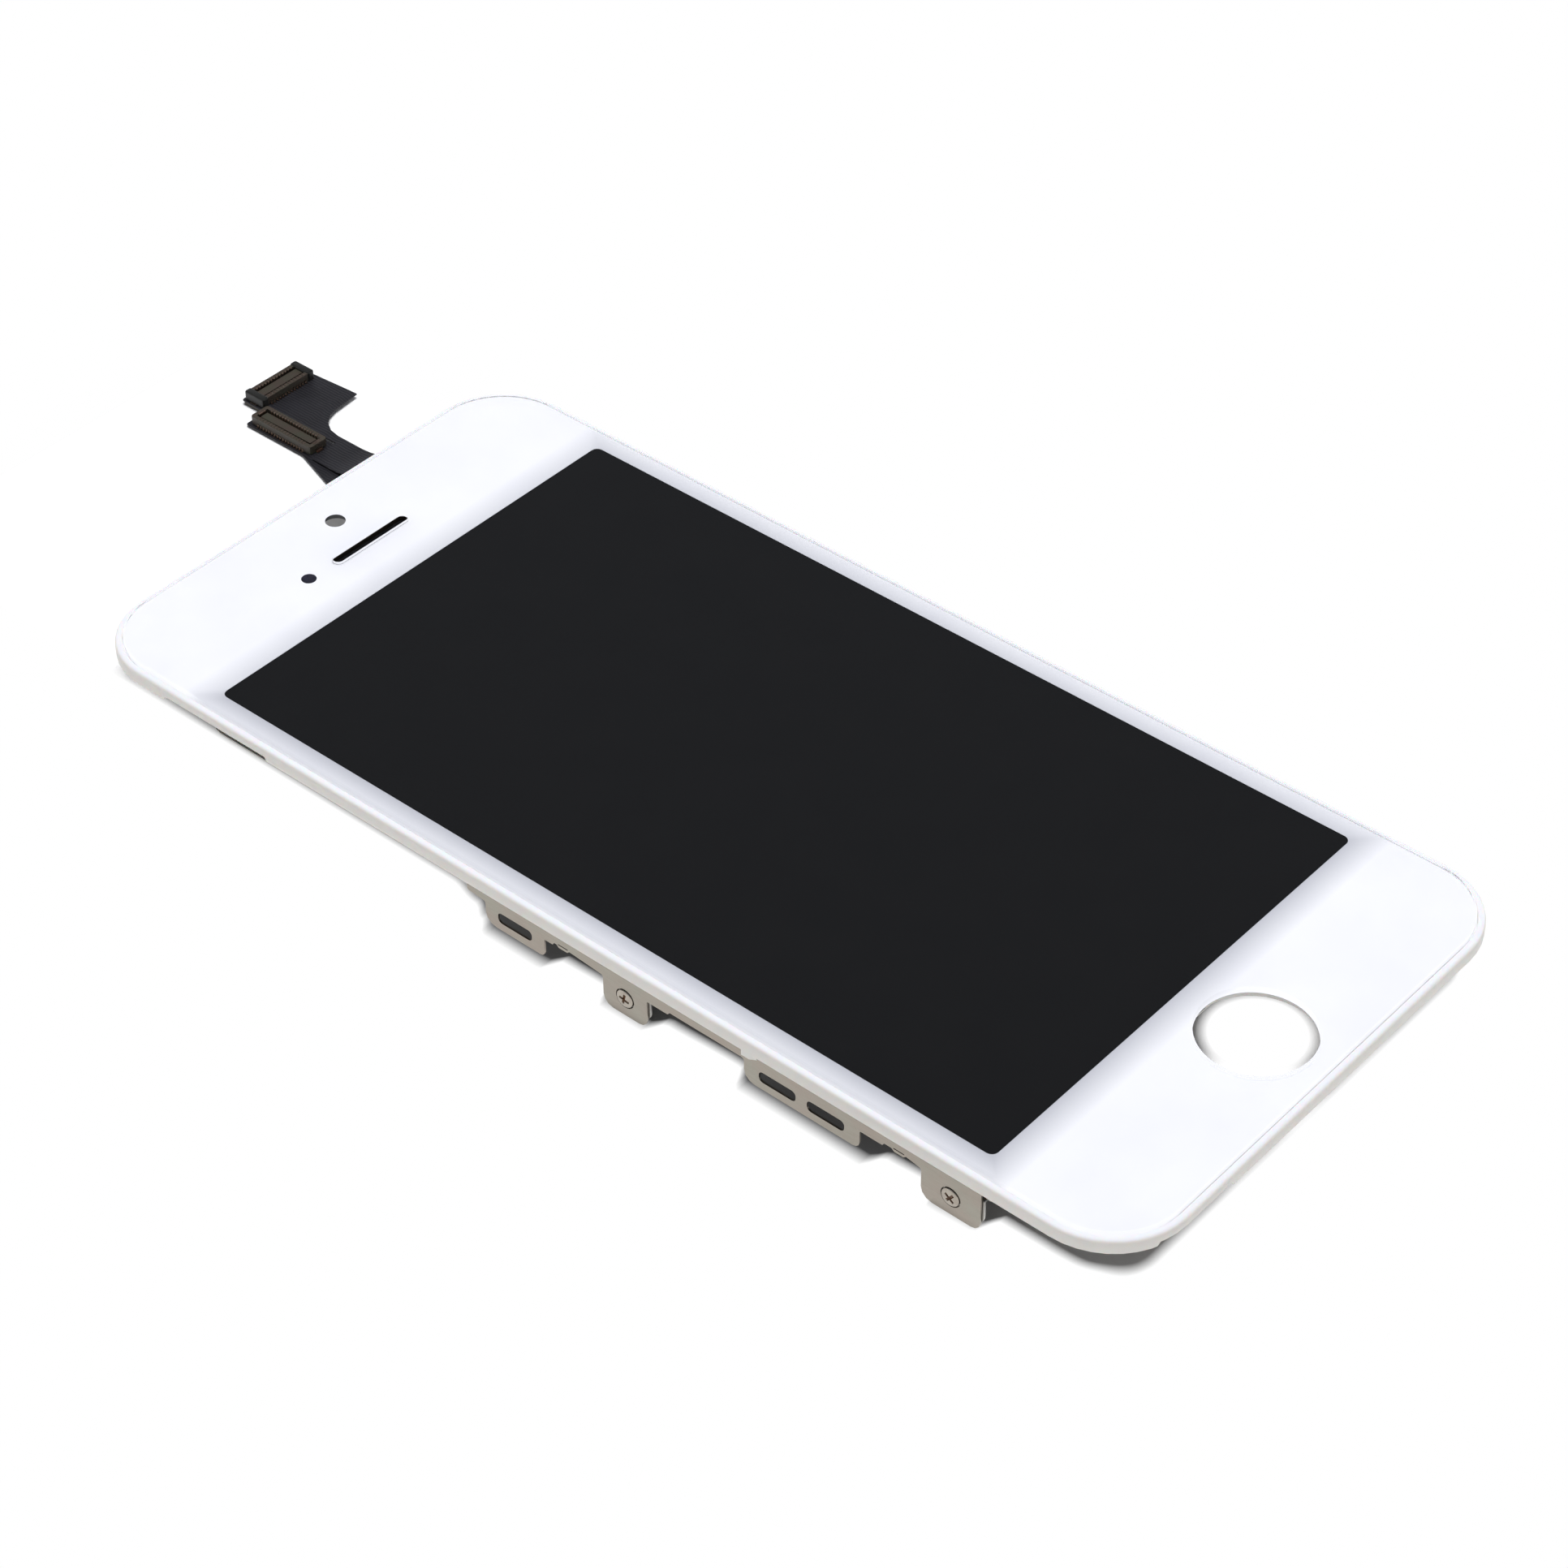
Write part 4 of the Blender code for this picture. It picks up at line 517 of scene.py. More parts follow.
@dataclass(frozen=True)
class CircuitCover:
    """Black cover of a flexible circuit, with its copper tracks standing up under it."""

    name: str
    dark: Paint
    light: Paint
    track: Paint = (66, 64, 66)
    edge: Paint = (78, 70, 56)
    pitch_mm: float = 0.34
    wander_mm: float = 0.35
    grain_mm: float = 0.08
    grain_share: float = 0.25
    relief_mm: float = 0.012
    rough: tuple[float, float] = (0.42, 0.6)
    specular: float = 0.35
    patch_mm: float = 2.5
    track_share: float = 0.25
    wear_and_highlight_mm: float = 0.05
    wear_and_highlight_amount: float = 0.5

    def material(self, effects: Effects) -> bpy.types.Material:
        """Builds the material."""
        coat = Coat(self.name, effects)
        tracks = coat.group(effects.tracks, Pitch_mm=self.pitch_mm, Wander_mm=self.wander_mm).outputs[0]
        grain = coat.group(effects.grain, Grain_mm=self.grain_mm).outputs["Height"]
        raised = coat.graph.maths("MULTIPLY", tracks, self.track_share)
        tone = coat.tone(self.dark, self.light, self.patch_mm)
        colour = coat.graph.blend(raised, tone, display_colour(self.track))
        colour = coat.wear_and_highlight(colour, self.edge, self.wear_and_highlight_mm, self.wear_and_highlight_amount)
        rough = coat.graph.span(grain, *self.rough, 0.3, 0.7)
        coat.feed(Base_Color=colour, Roughness=rough, Specular_IOR_Level=self.specular)
        fine = coat.graph.maths("MULTIPLY", grain, self.grain_share)
        coat.bump(coat.graph.maths("ADD", tracks, fine), self.relief_mm)
        return coat.material


FINISHES = {
    "cover_glass": ClearGlass("cover_glass_clear", (254, 254, 255), 0.699),
    "border_print": PrintedBorder(
        # the third colour is painted shade beside the display window; its reach and a share for each side
        # follow
        "border_ink_and_painted_shade", (245, 246, 252), (249, 250, 254), (189, 191, 199), half_window=(25.15, 44.6),
        painted_shade_reach_mm=2.9, painted_shade_shares=(1.0, 0.75, 0.92, 0.55),
    ),
    "clear_layer": BondedFilm("clear_layer", (0.8, 0.84, 0.88), 0.002),
    "polarizer": Moulded(
        "front_polarizer_dark", (11, 11, 18), (14, 14, 22), patch_mm=18.0, relief_mm=0.0004,
        rough=(0.3, 0.36), specular=0.1,
    ),
    "cell_glass": Moulded(
        "cell_glass_grey", (58, 66, 70), (70, 80, 84), patch_mm=10.0, relief_mm=0.0005, rough=(0.08, 0.14),
    ),
    "silicon": Moulded(
        "driver_silicon", (44, 46, 54), (58, 60, 70), patch_mm=1.2, relief_mm=0.001, rough=(0.2, 0.3),
    ),
    "milky_film": Moulded(
        "milky_film", (232, 233, 232), (244, 244, 242), relief_mm=0.002, rough=(0.4, 0.55),
    ),
    "light_guide": Moulded(
        "guide_acrylic", (214, 226, 228), (230, 238, 240), relief_mm=0.001, rough=(0.06, 0.14),
    ),
    "lamp": Moulded("lamp_phosphor", (232, 206, 96), (246, 236, 176), patch_mm=0.8, rough=(0.3, 0.45)),
    "tray": Moulded("tray_plastic", (226, 226, 222), (240, 240, 236), rough=(0.45, 0.6)),
    "rim": Moulded(
        "rim_moulding", (238, 234, 227), (235, 232, 225), patch_mm=2.6, grain_mm=0.07, relief_mm=0.0035,
        # the cream edge colour below is a painted highlight along the rim's crest
        rough=(0.32, 0.46), specular=0.45, wear_and_highlight=(255, 251, 238), wear_and_highlight_mm=0.12, wear_and_highlight_amount=0.6, soft_mm=0.12,
        # painted top light on faces that look up
        painted_top_light=(243, 244, 249),
    ),
    "adhesive": BondedFilm("clear_bead", (0.75, 0.76, 0.78), 0.35),
    "nickel": RolledMetal("bracket_nickel", (166, 156, 146), (164, 160, 149), (206, 199, 187)),
    "shield": RolledMetal(
        "shield_steel", (172, 170, 166), (190, 188, 184), (220, 219, 216), stretch=(0.06, 1.0, 1.0),
        patch_mm=9.0,
    ),
    "can": RolledMetal("can_steel", (168, 168, 166), (186, 186, 184), (216, 216, 214), patch_mm=8.0),
    "screw": RolledMetal(
        "screw_nickel", (170, 161, 150), (182, 175, 164), (216, 210, 198), stretch=(1.0, 1.0, 1.0),
        grain_mm=0.06, rough=(0.22, 0.36), patch_mm=0.7, wear_and_highlight_mm=0.04,
    ),
    # The dark brown of the screws' cross recesses is painted shade.
    "recess": Moulded(
        "screw_recess_painted_shade", (96, 66, 44), (132, 98, 70), patch_mm=0.25, grain_mm=0.05, rough=(0.4, 0.55),
    ),
    "brass": RolledMetal(
        "insert_brass", (178, 140, 74), (204, 168, 98), (230, 204, 140), stretch=(1.0, 1.0, 0.2),
        grain_mm=0.08, rough=(0.22, 0.36), patch_mm=1.0,
    ),
    "circuit": CircuitCover("circuit_cover", (27, 27, 31), (34, 34, 39)),
    "stiffener": Moulded(
        "stiffener_laminate", (52, 48, 40), (66, 60, 50), patch_mm=1.5, grain_mm=0.15, rough=(0.5, 0.65),
    ),
    "housing": Moulded(
        "connector_housing", (66, 56, 49), (62, 61, 50), patch_mm=1.4, grain_mm=0.06, relief_mm=0.003,
        rough=(0.42, 0.6), wear_and_highlight=(86, 78, 70), wear_and_highlight_mm=0.05, wear_and_highlight_amount=0.5,
    ),
    "ear": Moulded(
        "connector_ear_black", (24, 24, 23), (34, 34, 31), patch_mm=0.8, grain_mm=0.06, rough=(0.4, 0.55),
    ),
    "contact": RolledMetal(
        "contact_plating", (140, 118, 104), (162, 142, 126), (196, 180, 164), stretch=(1.0, 1.0, 1.0),
        grain_mm=0.05, rough=(0.25, 0.4), patch_mm=0.6, wear_and_highlight_mm=0.02,
    ),
    "mesh": Moulded(
        "earpiece_weave", (16, 16, 18), (30, 30, 32), patch_mm=0.8, grain_mm=0.06, rough=(0.55, 0.75),
        specular=0.3,
    ),
    "gasket": Moulded(
        "earpiece_gasket_dark", (30, 26, 23), (44, 37, 31), patch_mm=0.6, grain_mm=0.06, rough=(0.5, 0.65),
        specular=0.3, wear_and_highlight=(96, 76, 58), wear_and_highlight_mm=0.04, wear_and_highlight_amount=0.8,
    ),
    "holder": Moulded("holder_grey", (126, 127, 128), (142, 143, 144), patch_mm=1.5, rough=(0.45, 0.6)),
    "sensor": Moulded(
        "sensor_filter", (22, 22, 36), (30, 30, 48), patch_mm=1.0, relief_mm=0.0005, rough=(0.12, 0.2),
    ),
}


# Surfaces


def grid_quads(rows: int, columns: int, close_rows: bool = False, close_columns: bool = False) -> np.ndarray:
    """Corner numbers of the quads of a grid of points, numbered row by row.

    Args:
        rows, columns: size of the grid of points.
        close_rows: whether the last row joins the first.
        close_columns: whether the last column joins the first.

    Returns:
        An array of four corner numbers for each quad.
    """
    row = np.arange(rows if close_rows else rows - 1)
    column = np.arange(columns if close_columns else columns - 1)
    row, column = (part.ravel() for part in np.meshgrid(row, column, indexing="ij"))
    after_row, after_column = (row + 1) % rows, (column + 1) % columns
    corners = [row * columns + column, row * columns + after_column]
    corners += [after_row * columns + after_column, after_row * columns + column]
    return np.stack(corners, axis=1)


def mesh_object(
    name: str, points: np.ndarray, faces: list, finish: bpy.types.Material, angle: float = 35.0
) -> bpy.types.Object:
    """Puts points and faces into a new piece that rides on the assembly.

    Args:
        name: the piece's name.
        points: one row of x, y and z in metres for each vertex.
        faces: lists of vertex numbers.
        finish: the piece's material.
        angle: edges that turn by more than this many degrees stay sharp.

    Returns:
        The object, at the origin, with doubles merged and its faces pointing out.
    """
    mesh = bpy.data.meshes.new(name)
    mesh.from_pydata(np.asarray(points, dtype=float).tolist(), [], faces)
    form = bmesh.new()
    form.from_mesh(mesh)
    bmesh.ops.remove_doubles(form, verts=form.verts, dist=1e-7)
    bmesh.ops.dissolve_degenerate(form, edges=form.edges, dist=1e-8)
    bmesh.ops.recalc_face_normals(form, faces=form.faces)
    if form.calc_volume(signed=True) < 0:
        bmesh.ops.reverse_faces(form, faces=form.faces)
    form.to_mesh(mesh)
    form.free()
    mesh.materials.append(finish)
    mesh.shade_smooth()
    mesh.set_sharp_from_angle(angle=math.radians(angle))
    piece = bpy.data.objects.new(name, mesh)
    bpy.context.scene.collection.objects.link(piece)
    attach(piece, BODY)
    log.info("%s: %d faces", name, len(mesh.polygons))
    return piece


def rounded_box(
    half_x: float, half_y: float, radius: float, middle: tuple[float, float] = (0.0, 0.0), steps: int = 24
) -> np.ndarray:
    """Outline of a box with round corners.

    Each corner is a quarter circle: its centre is the box corner drawn in by the radius, and the
    angle runs on by a right angle from one corner to the next.

    Args:
        half_x, half_y: half the width and half the length, in mm.
        radius: corner radius in mm.
        middle: centre of the box in mm.
        steps: spans in each corner.

    Returns:
        One row of x and y for each point, anticlockwise, in mm.
    """
    quarter = np.repeat(np.arange(4), steps + 1)
    angle = math.pi / 2 * (quarter + np.tile(np.arange(steps + 1) / steps, 4))
    side = np.array([1, -1, -1, 1])[quarter]
    end = np.array([1, 1, -1, -1])[quarter]
    x = side * (half_x - radius) + radius * np.cos(angle) + middle[0]
    y = end * (half_y - radius) + radius * np.sin(angle) + middle[1]
    return np.stack([x, y], axis=1)


def circle(radius: float, middle: tuple[float, float], steps: int = 96) -> np.ndarray:
    """Circle about the middle as an array of x and y in mm, anticlockwise."""
    angle = np.linspace(0.0, math.tau, steps, endpoint=False)
    return np.stack([middle[0] + radius * np.cos(angle), middle[1] + radius * np.sin(angle)], axis=1)


def slot(half_length: float, radius: float, middle: tuple[float, float], steps: int = 32) -> np.ndarray:
    """Outline of a slot that lies along X: two half circles whose straight sides join them."""
    angle = np.linspace(-math.pi / 2, math.pi / 2, steps + 1)
    x = np.concatenate([np.cos(angle), -np.cos(angle)]) * radius
    y = np.concatenate([np.sin(angle), -np.sin(angle)]) * radius
    x += np.repeat([1.0, -1.0], steps + 1) * (half_length - radius)
    return np.stack([x + middle[0], y + middle[1]], axis=1)


def swept_skin(outlines: list[np.ndarray], heights: np.ndarray) -> tuple[np.ndarray, np.ndarray]:
    """Skin through outlines with as many points each: row s is outline s at height s.

    Args:
        outlines: arrays of x and y in mm.
        heights: z of each outline in mm.

    Returns:
        The points in metres and the quads between them.
    """
    flat = np.stack(outlines)
    tall = np.broadcast_to(np.asarray(heights)[:, None, None], (*flat.shape[:2], 1))
    points = np.concatenate([flat, tall], axis=2).reshape(-1, 3) * MM
    return points, grid_quads(*flat.shape[:2], close_columns=True)


def ring_skin(
    inner: np.ndarray, outer: np.ndarray, heights: tuple[float, float]
) -> tuple[np.ndarray, list[list[int]]]:
    """Flat-topped ring between two outlines and two heights in mm: points in metres and faces."""
    low, high = heights
    points, _ = swept_skin([outer, outer, inner, inner], np.array([low, high, high, low]))
    return points, grid_quads(4, len(inner), close_rows=True, close_columns=True).tolist()


def tube_faces(count: int, length: int, sides: int) -> list[list[int]]:
    """Faces of equal tubes with closed ends, whose points run round each section in turn."""
    tube = grid_quads(length, sides, close_columns=True)
    caps = np.stack([np.arange(sides), np.arange(sides) + (length - 1) * sides])
    starts = (np.arange(count) * length * sides)[:, None, None]
    return (tube + starts).reshape(-1, 4).tolist() + (caps + starts).reshape(-1, sides).tolist()


def revolved_skin(radii: np.ndarray, heights: np.ndarray, steps: int) -> tuple[np.ndarray, np.ndarray]:
    """Skin of a profile turned about Z: x = r cos a, y = r sin a, with a running right round.

    Args:
        radii, heights: the profile in mm.
        steps: spans round the axis.

    Returns:
        The points in mm and the quads between them.
    """
    angle = np.linspace(0.0, math.tau, steps, endpoint=False)
    x = radii[:, None] * np.cos(angle)
    y = radii[:, None] * np.sin(angle)
    z = np.broadcast_to(np.asarray(heights)[:, None], x.shape)
    return np.stack([x, y, z], axis=2).reshape(-1, 3), grid_quads(len(radii), steps, close_columns=True)


def join_skins(parts: list[tuple[np.ndarray, list]]) -> tuple[np.ndarray, list]:
    """Several skins as one: each one's faces count on from the points before it."""
    points, faces, start = [], [], 0
    for skin, quads in parts:
        points.append(skin)
        faces += [[int(corner) + start for corner in quad] for quad in quads]
        start += len(skin)
    return np.concatenate(points), faces


def filled_faces(loops: list[np.ndarray], numbers: list[np.ndarray]) -> list[list[int]]:
    """Triangles that fill the first loop and leave the others open.

    Args:
        loops: outlines in mm, each an array of x and y.
        numbers: the vertex numbers of each loop's points.

    Returns:
        Lists of vertex numbers.
    """
    form = bmesh.new()
    edges = []
    for outline in loops:
        corners = [form.verts.new((x, y, 0.0)) for x, y in outline.tolist()]
        edges += [form.edges.new(pair) for pair in zip(corners, corners[1:] + corners[:1])]
    form.verts.index_update()
    bmesh.ops.triangle_fill(form, use_beauty=True, edges=edges)
    places = np.concatenate(numbers)
    faces = [[int(places[vert.index]) for vert in face.verts] for face in form.faces]
    form.free()
    return faces


def wires(paths: np.ndarray, across: int, radius: float, sides: int = 6) -> tuple[np.ndarray, list]:
    """Round wires along their paths: each section is a circle square to the wire's main run.

    Args:
        paths: points in mm, as an array of wires, points on each, and x, y and z.
        across: axis that lies across the wires, 0 or 1; the other one across them is z.
        radius: radius of a wire in mm.
        sides: points round a section.

    Returns:
        The points in metres and the faces, with closed ends.
    """
    angle = np.linspace(0.0, math.tau, sides, endpoint=False)
    ring = np.zeros((sides, 3))
    ring[:, across] = radius * np.cos(angle)
    ring[:, 2] = radius * np.sin(angle)
    points = paths[:, :, None, :] + ring
    return points.reshape(-1, 3) * MM, tube_faces(*paths.shape[:2], sides)


def strips(path: np.ndarray, along: np.ndarray, width: float, thickness: float) -> tuple[np.ndarray, list]:
    """Equal bent strips side by side, each a path with a thickness, drawn out to a width.

    The strip's other face lies on the path's normal, which is its direction of run turned by a
    right angle, and each section is a rectangle.

    Args:
        path: distance across the row and height of each point, in mm.
        along: place of each strip's middle along the row, in mm.
        width: width of a strip in mm.
        thickness: thickness of a strip in mm.

    Returns:
        Rows of along, across and height in mm, and the faces.
    """
    run = np.gradient(path, axis=0)
    run /= np.linalg.norm(run, axis=1, keepdims=True)
    raised = path + thickness * np.stack([-run[:, 1], run[:, 0]], axis=1)
    section = np.stack([path, path, raised, raised], axis=1)
    reach = np.array([-0.5, 0.5, 0.5, -0.5]) * width
    place = along[:, None, None] + reach
    count, length = len(along), len(path)
    points = np.empty((count, length, 4, 3))
    points[..., 0] = np.broadcast_to(place, (count, length, 4))
    points[..., 1:] = section
    return points.reshape(-1, 3), tube_faces(count, length, 4)


@dataclass(frozen=True)
class EdgeBreak:
    """Broken edges on a copy of a solid: how wide, in how many spans, and where."""

    width_mm: float
    spans: int = 2
    angle: float = 30.0


def broken_copy(node: str, name: str, finish: bpy.types.Material, edges: EdgeBreak) -> bpy.types.Object:
    """Copies a solid, merges it, and rounds its sharp edges with a live Bevel.

    Args:
        node: the solid's name.
        name: the copy's name.
        finish: its material.
        edges: how its edges are broken.

    Returns:
        The copy, which stands for the solid.
    """
    mesh = NODES[node].data.copy()
    form = bmesh.new()
    form.from_mesh(mesh)
    bmesh.ops.remove_doubles(form, verts=form.verts, dist=2e-7)
    bmesh.ops.dissolve_limit(form, angle_limit=math.radians(0.4), verts=form.verts, edges=form.edges)
    form.to_mesh(mesh)
    form.free()
    mesh.materials.clear()
    mesh.materials.append(finish)
    mesh.shade_smooth()
    mesh.set_sharp_from_angle(angle=math.radians(edges.angle))
    piece = bpy.data.objects.new(name, mesh)
    bpy.context.scene.collection.objects.link(piece)
    bevel = piece.modifiers.new("broken_edges", "BEVEL")
    bevel.width = edges.width_mm * MM
    bevel.segments = edges.spans
    bevel.limit_method = "ANGLE"
    bevel.angle_limit = math.radians(edges.angle)
    bevel.harden_normals = True
    bevel.use_clamp_overlap = True
    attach(piece, BODY)
    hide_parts(node)
    log.info("%s: copy of %s, %d faces", name, node, len(mesh.polygons))
    return piece


def dress(node: str, finish: bpy.types.Material) -> None:
    """Gives a solid that stays a better material."""
    mesh = NODES[node].data
    if not mesh.materials:
        mesh.materials.append(finish)
    for index in range(len(mesh.materials)):
        mesh.materials[index] = finish
    log.info("%s: dressed as %s", node, finish.name)


# Sub-assemblies


@dataclass
class GlassStack:
    """Cover glass, its print and the layers bonded behind it."""

    half_width: float = 27.15
    top_y: float = 59.8
    bottom_y: float = -59.4
    thickness: float = 0.7
    corner: float = 6.9
    edge_round: float = 0.18
    edge_steps: int = 8
    back_break: float = 0.05
    home_y: float = -52.37
    home_radius: float = 5.28
    home_round: float = 0.06
    earpiece_y: float = 50.7
    earpiece_length: float = 9.65
    earpiece_width: float = 1.2
    earpiece_round: float = 0.05
    lip_width: float = 0.2
    lip_overlap: float = 0.01
    lip_span: tuple[float, float] = (-0.717, -0.701)

    def outline(self, inset: float) -> np.ndarray:
        """Glass outline drawn in by the inset."""
        half_length = (self.top_y - self.bottom_y) / 2
        middle = (0.0, (self.top_y + self.bottom_y) / 2)
        return rounded_box(self.half_width - inset, half_length - inset, self.corner - inset, middle)

    def home(self, inset: float) -> np.ndarray:
        """Home opening widened by the inset."""
        return circle(self.home_radius + inset, (0.0, self.home_y))

    def earpiece(self, inset: float) -> np.ndarray:
        """Earpiece slot widened by the inset."""
        half_length = self.earpiece_length / 2 + inset
        return slot(half_length, self.earpiece_width / 2 + inset, (0.0, self.earpiece_y))

    def edge_profile(self, rounding: float, back_break: float) -> tuple[np.ndarray, np.ndarray]:
        """Insets and heights of an edge, from the back face up to the front.

        The back edge has a small straight break, and the front one is a quarter circle: the inset
        is the rounding times one less the cosine, and the drop is it times one less the sine.
        """
        angle = np.linspace(0.0, math.pi / 2, self.edge_steps + 1)
        insets = np.concatenate([[back_break, 0.0], rounding * (1 - np.cos(angle))])
        back = [self.thickness, self.thickness - self.back_break]
        return insets, -np.concatenate([back, rounding * (1 - np.sin(angle))])

    def build_cover(self, finish: bpy.types.Material) -> None:
        """Builds the cover glass: swept edges, and flat faces filled between them."""
        skins, fronts, backs, numbers_front, numbers_back, start = [], [], [], [], [], 0
        edges = (
            (self.outline, self.edge_round, self.back_break),
            (self.home, self.home_round, 0.0),
            (self.earpiece, self.earpiece_round, 0.0),
        )
        for outline, rounding, back_break in edges:
            insets, heights = self.edge_profile(rounding, back_break)
            loops = [outline(float(inset)) for inset in insets]
            points, quads = swept_skin(loops, heights)
            skins.append((points, quads))
            count = len(loops[0])
            fronts.append(loops[-1])
            backs.append(loops[0])
            numbers_front.append(np.arange(len(points) - count, len(points)) + start)
            numbers_back.append(np.arange(count) + start)
            start += len(points)
        points, faces = join_skins(skins)
        faces += filled_faces(fronts, numbers_front) + filled_faces(backs, numbers_back)
        cover = mesh_object("cover_glass_polished", points, faces, finish)
        cover.modifiers.new("flat_faces_lead", "WEIGHTED_NORMAL").keep_sharp = True
        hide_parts("cover_glass")

    def build_lips(self, finish: bpy.types.Material) -> None:
        """Builds the thin rings of ink that run up to the edges of the home opening and the slot."""
        for name, outline in (("home_ink_lip", self.home), ("earpiece_ink_lip", self.earpiece)):
            ring = ring_skin(outline(-self.lip_overlap), outline(self.lip_width), self.lip_span)
            mesh_object(name, *ring, finish)

    def build(self, finishes: dict[str, bpy.types.Material]) -> None:
        """Builds the glass and dresses the layers behind it."""
        self.build_cover(finishes["cover_glass"])
        self.build_lips(finishes["border_print"])
        for node, finish in (
            ("border_print", "border_print"),
            ("touch_sensor", "clear_layer"),
            ("optical_adhesive", "clear_layer"),
            ("front_polarizer", "polarizer"),
            ("colour_filter_glass", "cell_glass"),
            ("array_glass", "cell_glass"),
            ("rear_polarizer", "polarizer"),
            ("driver_chip", "silicon"),
        ):
            dress(node, finishes[finish])


@dataclass
class EarpieceWeave:
    """Woven wire cloth that shows at the bottom of the earpiece slot."""

    half_length: float = 4.7
    half_width: float = 0.52
    spacing: float = 0.16
    wire: float = 0.035
    height: float = -0.745
    gasket_middle: float = 50.7
    gasket_half: tuple[float, float] = (4.81, 0.585)
    gasket_wall: float = 0.06
    gasket_span: tuple[float, float] = (-0.77, -0.3)

    def build_gasket(self, finish: bpy.types.Material) -> None:
        """Builds the soft ring that lines the bottom of the slot: a thin upright wall."""
        middle = (0.0, self.gasket_middle)
        length, width = self.gasket_half
        inner = slot(length - self.gasket_wall, width - self.gasket_wall, middle)
        ring = ring_skin(inner, slot(length, width, middle), self.gasket_span)
        mesh_object("earpiece_gasket", *ring, finish)

    def build(self, finish: bpy.types.Material) -> None:
        """Builds both sets of wires, which pass over and under each other.

        A wire's height is a cosine of the place along it, one crossing to a half turn, and it
        starts high or low in turn.
        """
        low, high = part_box("earpiece_mesh")
        middle = (low[1] + high[1]) / 2 / MM
        parts = []
        for run, across, reach, spread in (
            (0, 1, self.half_length, self.half_width),
            (1, 0, self.half_width, self.half_length),
        ):
            place = np.arange(-spread, spread + self.wire, self.spacing)
            along = np.linspace(-reach, reach, max(int(reach / self.spacing) * 8, 8))
            turn = np.where(np.arange(len(place)) % 2 == 0, 1.0, -1.0) * (1 if run else -1)
            paths = np.zeros((len(place), len(along), 3))
            paths[..., run] = along
            paths[..., across] = place[:, None]
            paths[..., 1] += middle
            wave = np.cos(math.pi * (along + reach) / self.spacing)
            paths[..., 2] = self.height + 0.5 * self.wire * turn[:, None] * wave
            parts.append(wires(paths, across, self.wire))
        points, faces = join_skins(parts)
        mesh_object("earpiece_weave", points, faces, finish, 60.0)


@dataclass
class Backlight:
    """Film stack, light guide, lamps, tray and can."""

    lamps: int = 6

    def build(self, finishes: dict[str, bpy.types.Material]) -> None:
        """Dresses the backlight's pieces."""
        for node, finish in (
            ("upper_prism_film", "clear_layer"),
            ("lower_prism_film", "clear_layer"),
            ("diffuser_film", "milky_film"),
            ("light_guide", "light_guide"),
            ("reflector_film", "milky_film"),
            ("led_flex", "circuit"),
            ("backlight_frame", "tray"),
        ):
            dress(node, finishes[finish])
        for number in range(1, self.lamps + 1):
            dress(f"led_{number}", finishes["lamp"])
        can = broken_copy("backlight_can", "backlight_can_stamped", finishes["can"], EdgeBreak(0.03))


@dataclass
class Rim:
    """Moulded rim with its glass adhesive, seats and inserts."""

    inserts: int = 4
    edge: EdgeBreak = EdgeBreak(0.05, 3, 40.0)

    def build(self, finishes: dict[str, bpy.types.Material]) -> None:
        """Builds the rim and dresses what it carries."""
        rim = broken_copy("bezel_frame", "bezel_frame_moulded", finishes["rim"], self.edge)
        dress("rim_adhesive", finishes["adhesive"])
        dress("sensor_window", finishes["sensor"])
        dress("earpiece_mesh", finishes["mesh"])
        weave = EarpieceWeave()
        weave.build(finishes["mesh"])
        weave.build_gasket(finishes["gasket"])
        for node in ("camera_holder", "sensor_holder"):
            holder = broken_copy(node, f"{node}_moulded", finishes["holder"], EdgeBreak(0.04))
        for number in range(1, self.inserts + 1):
            node = f"brass_insert_{number}"
            insert = broken_copy(node, f"{node}_turned", finishes["brass"], EdgeBreak(0.05))


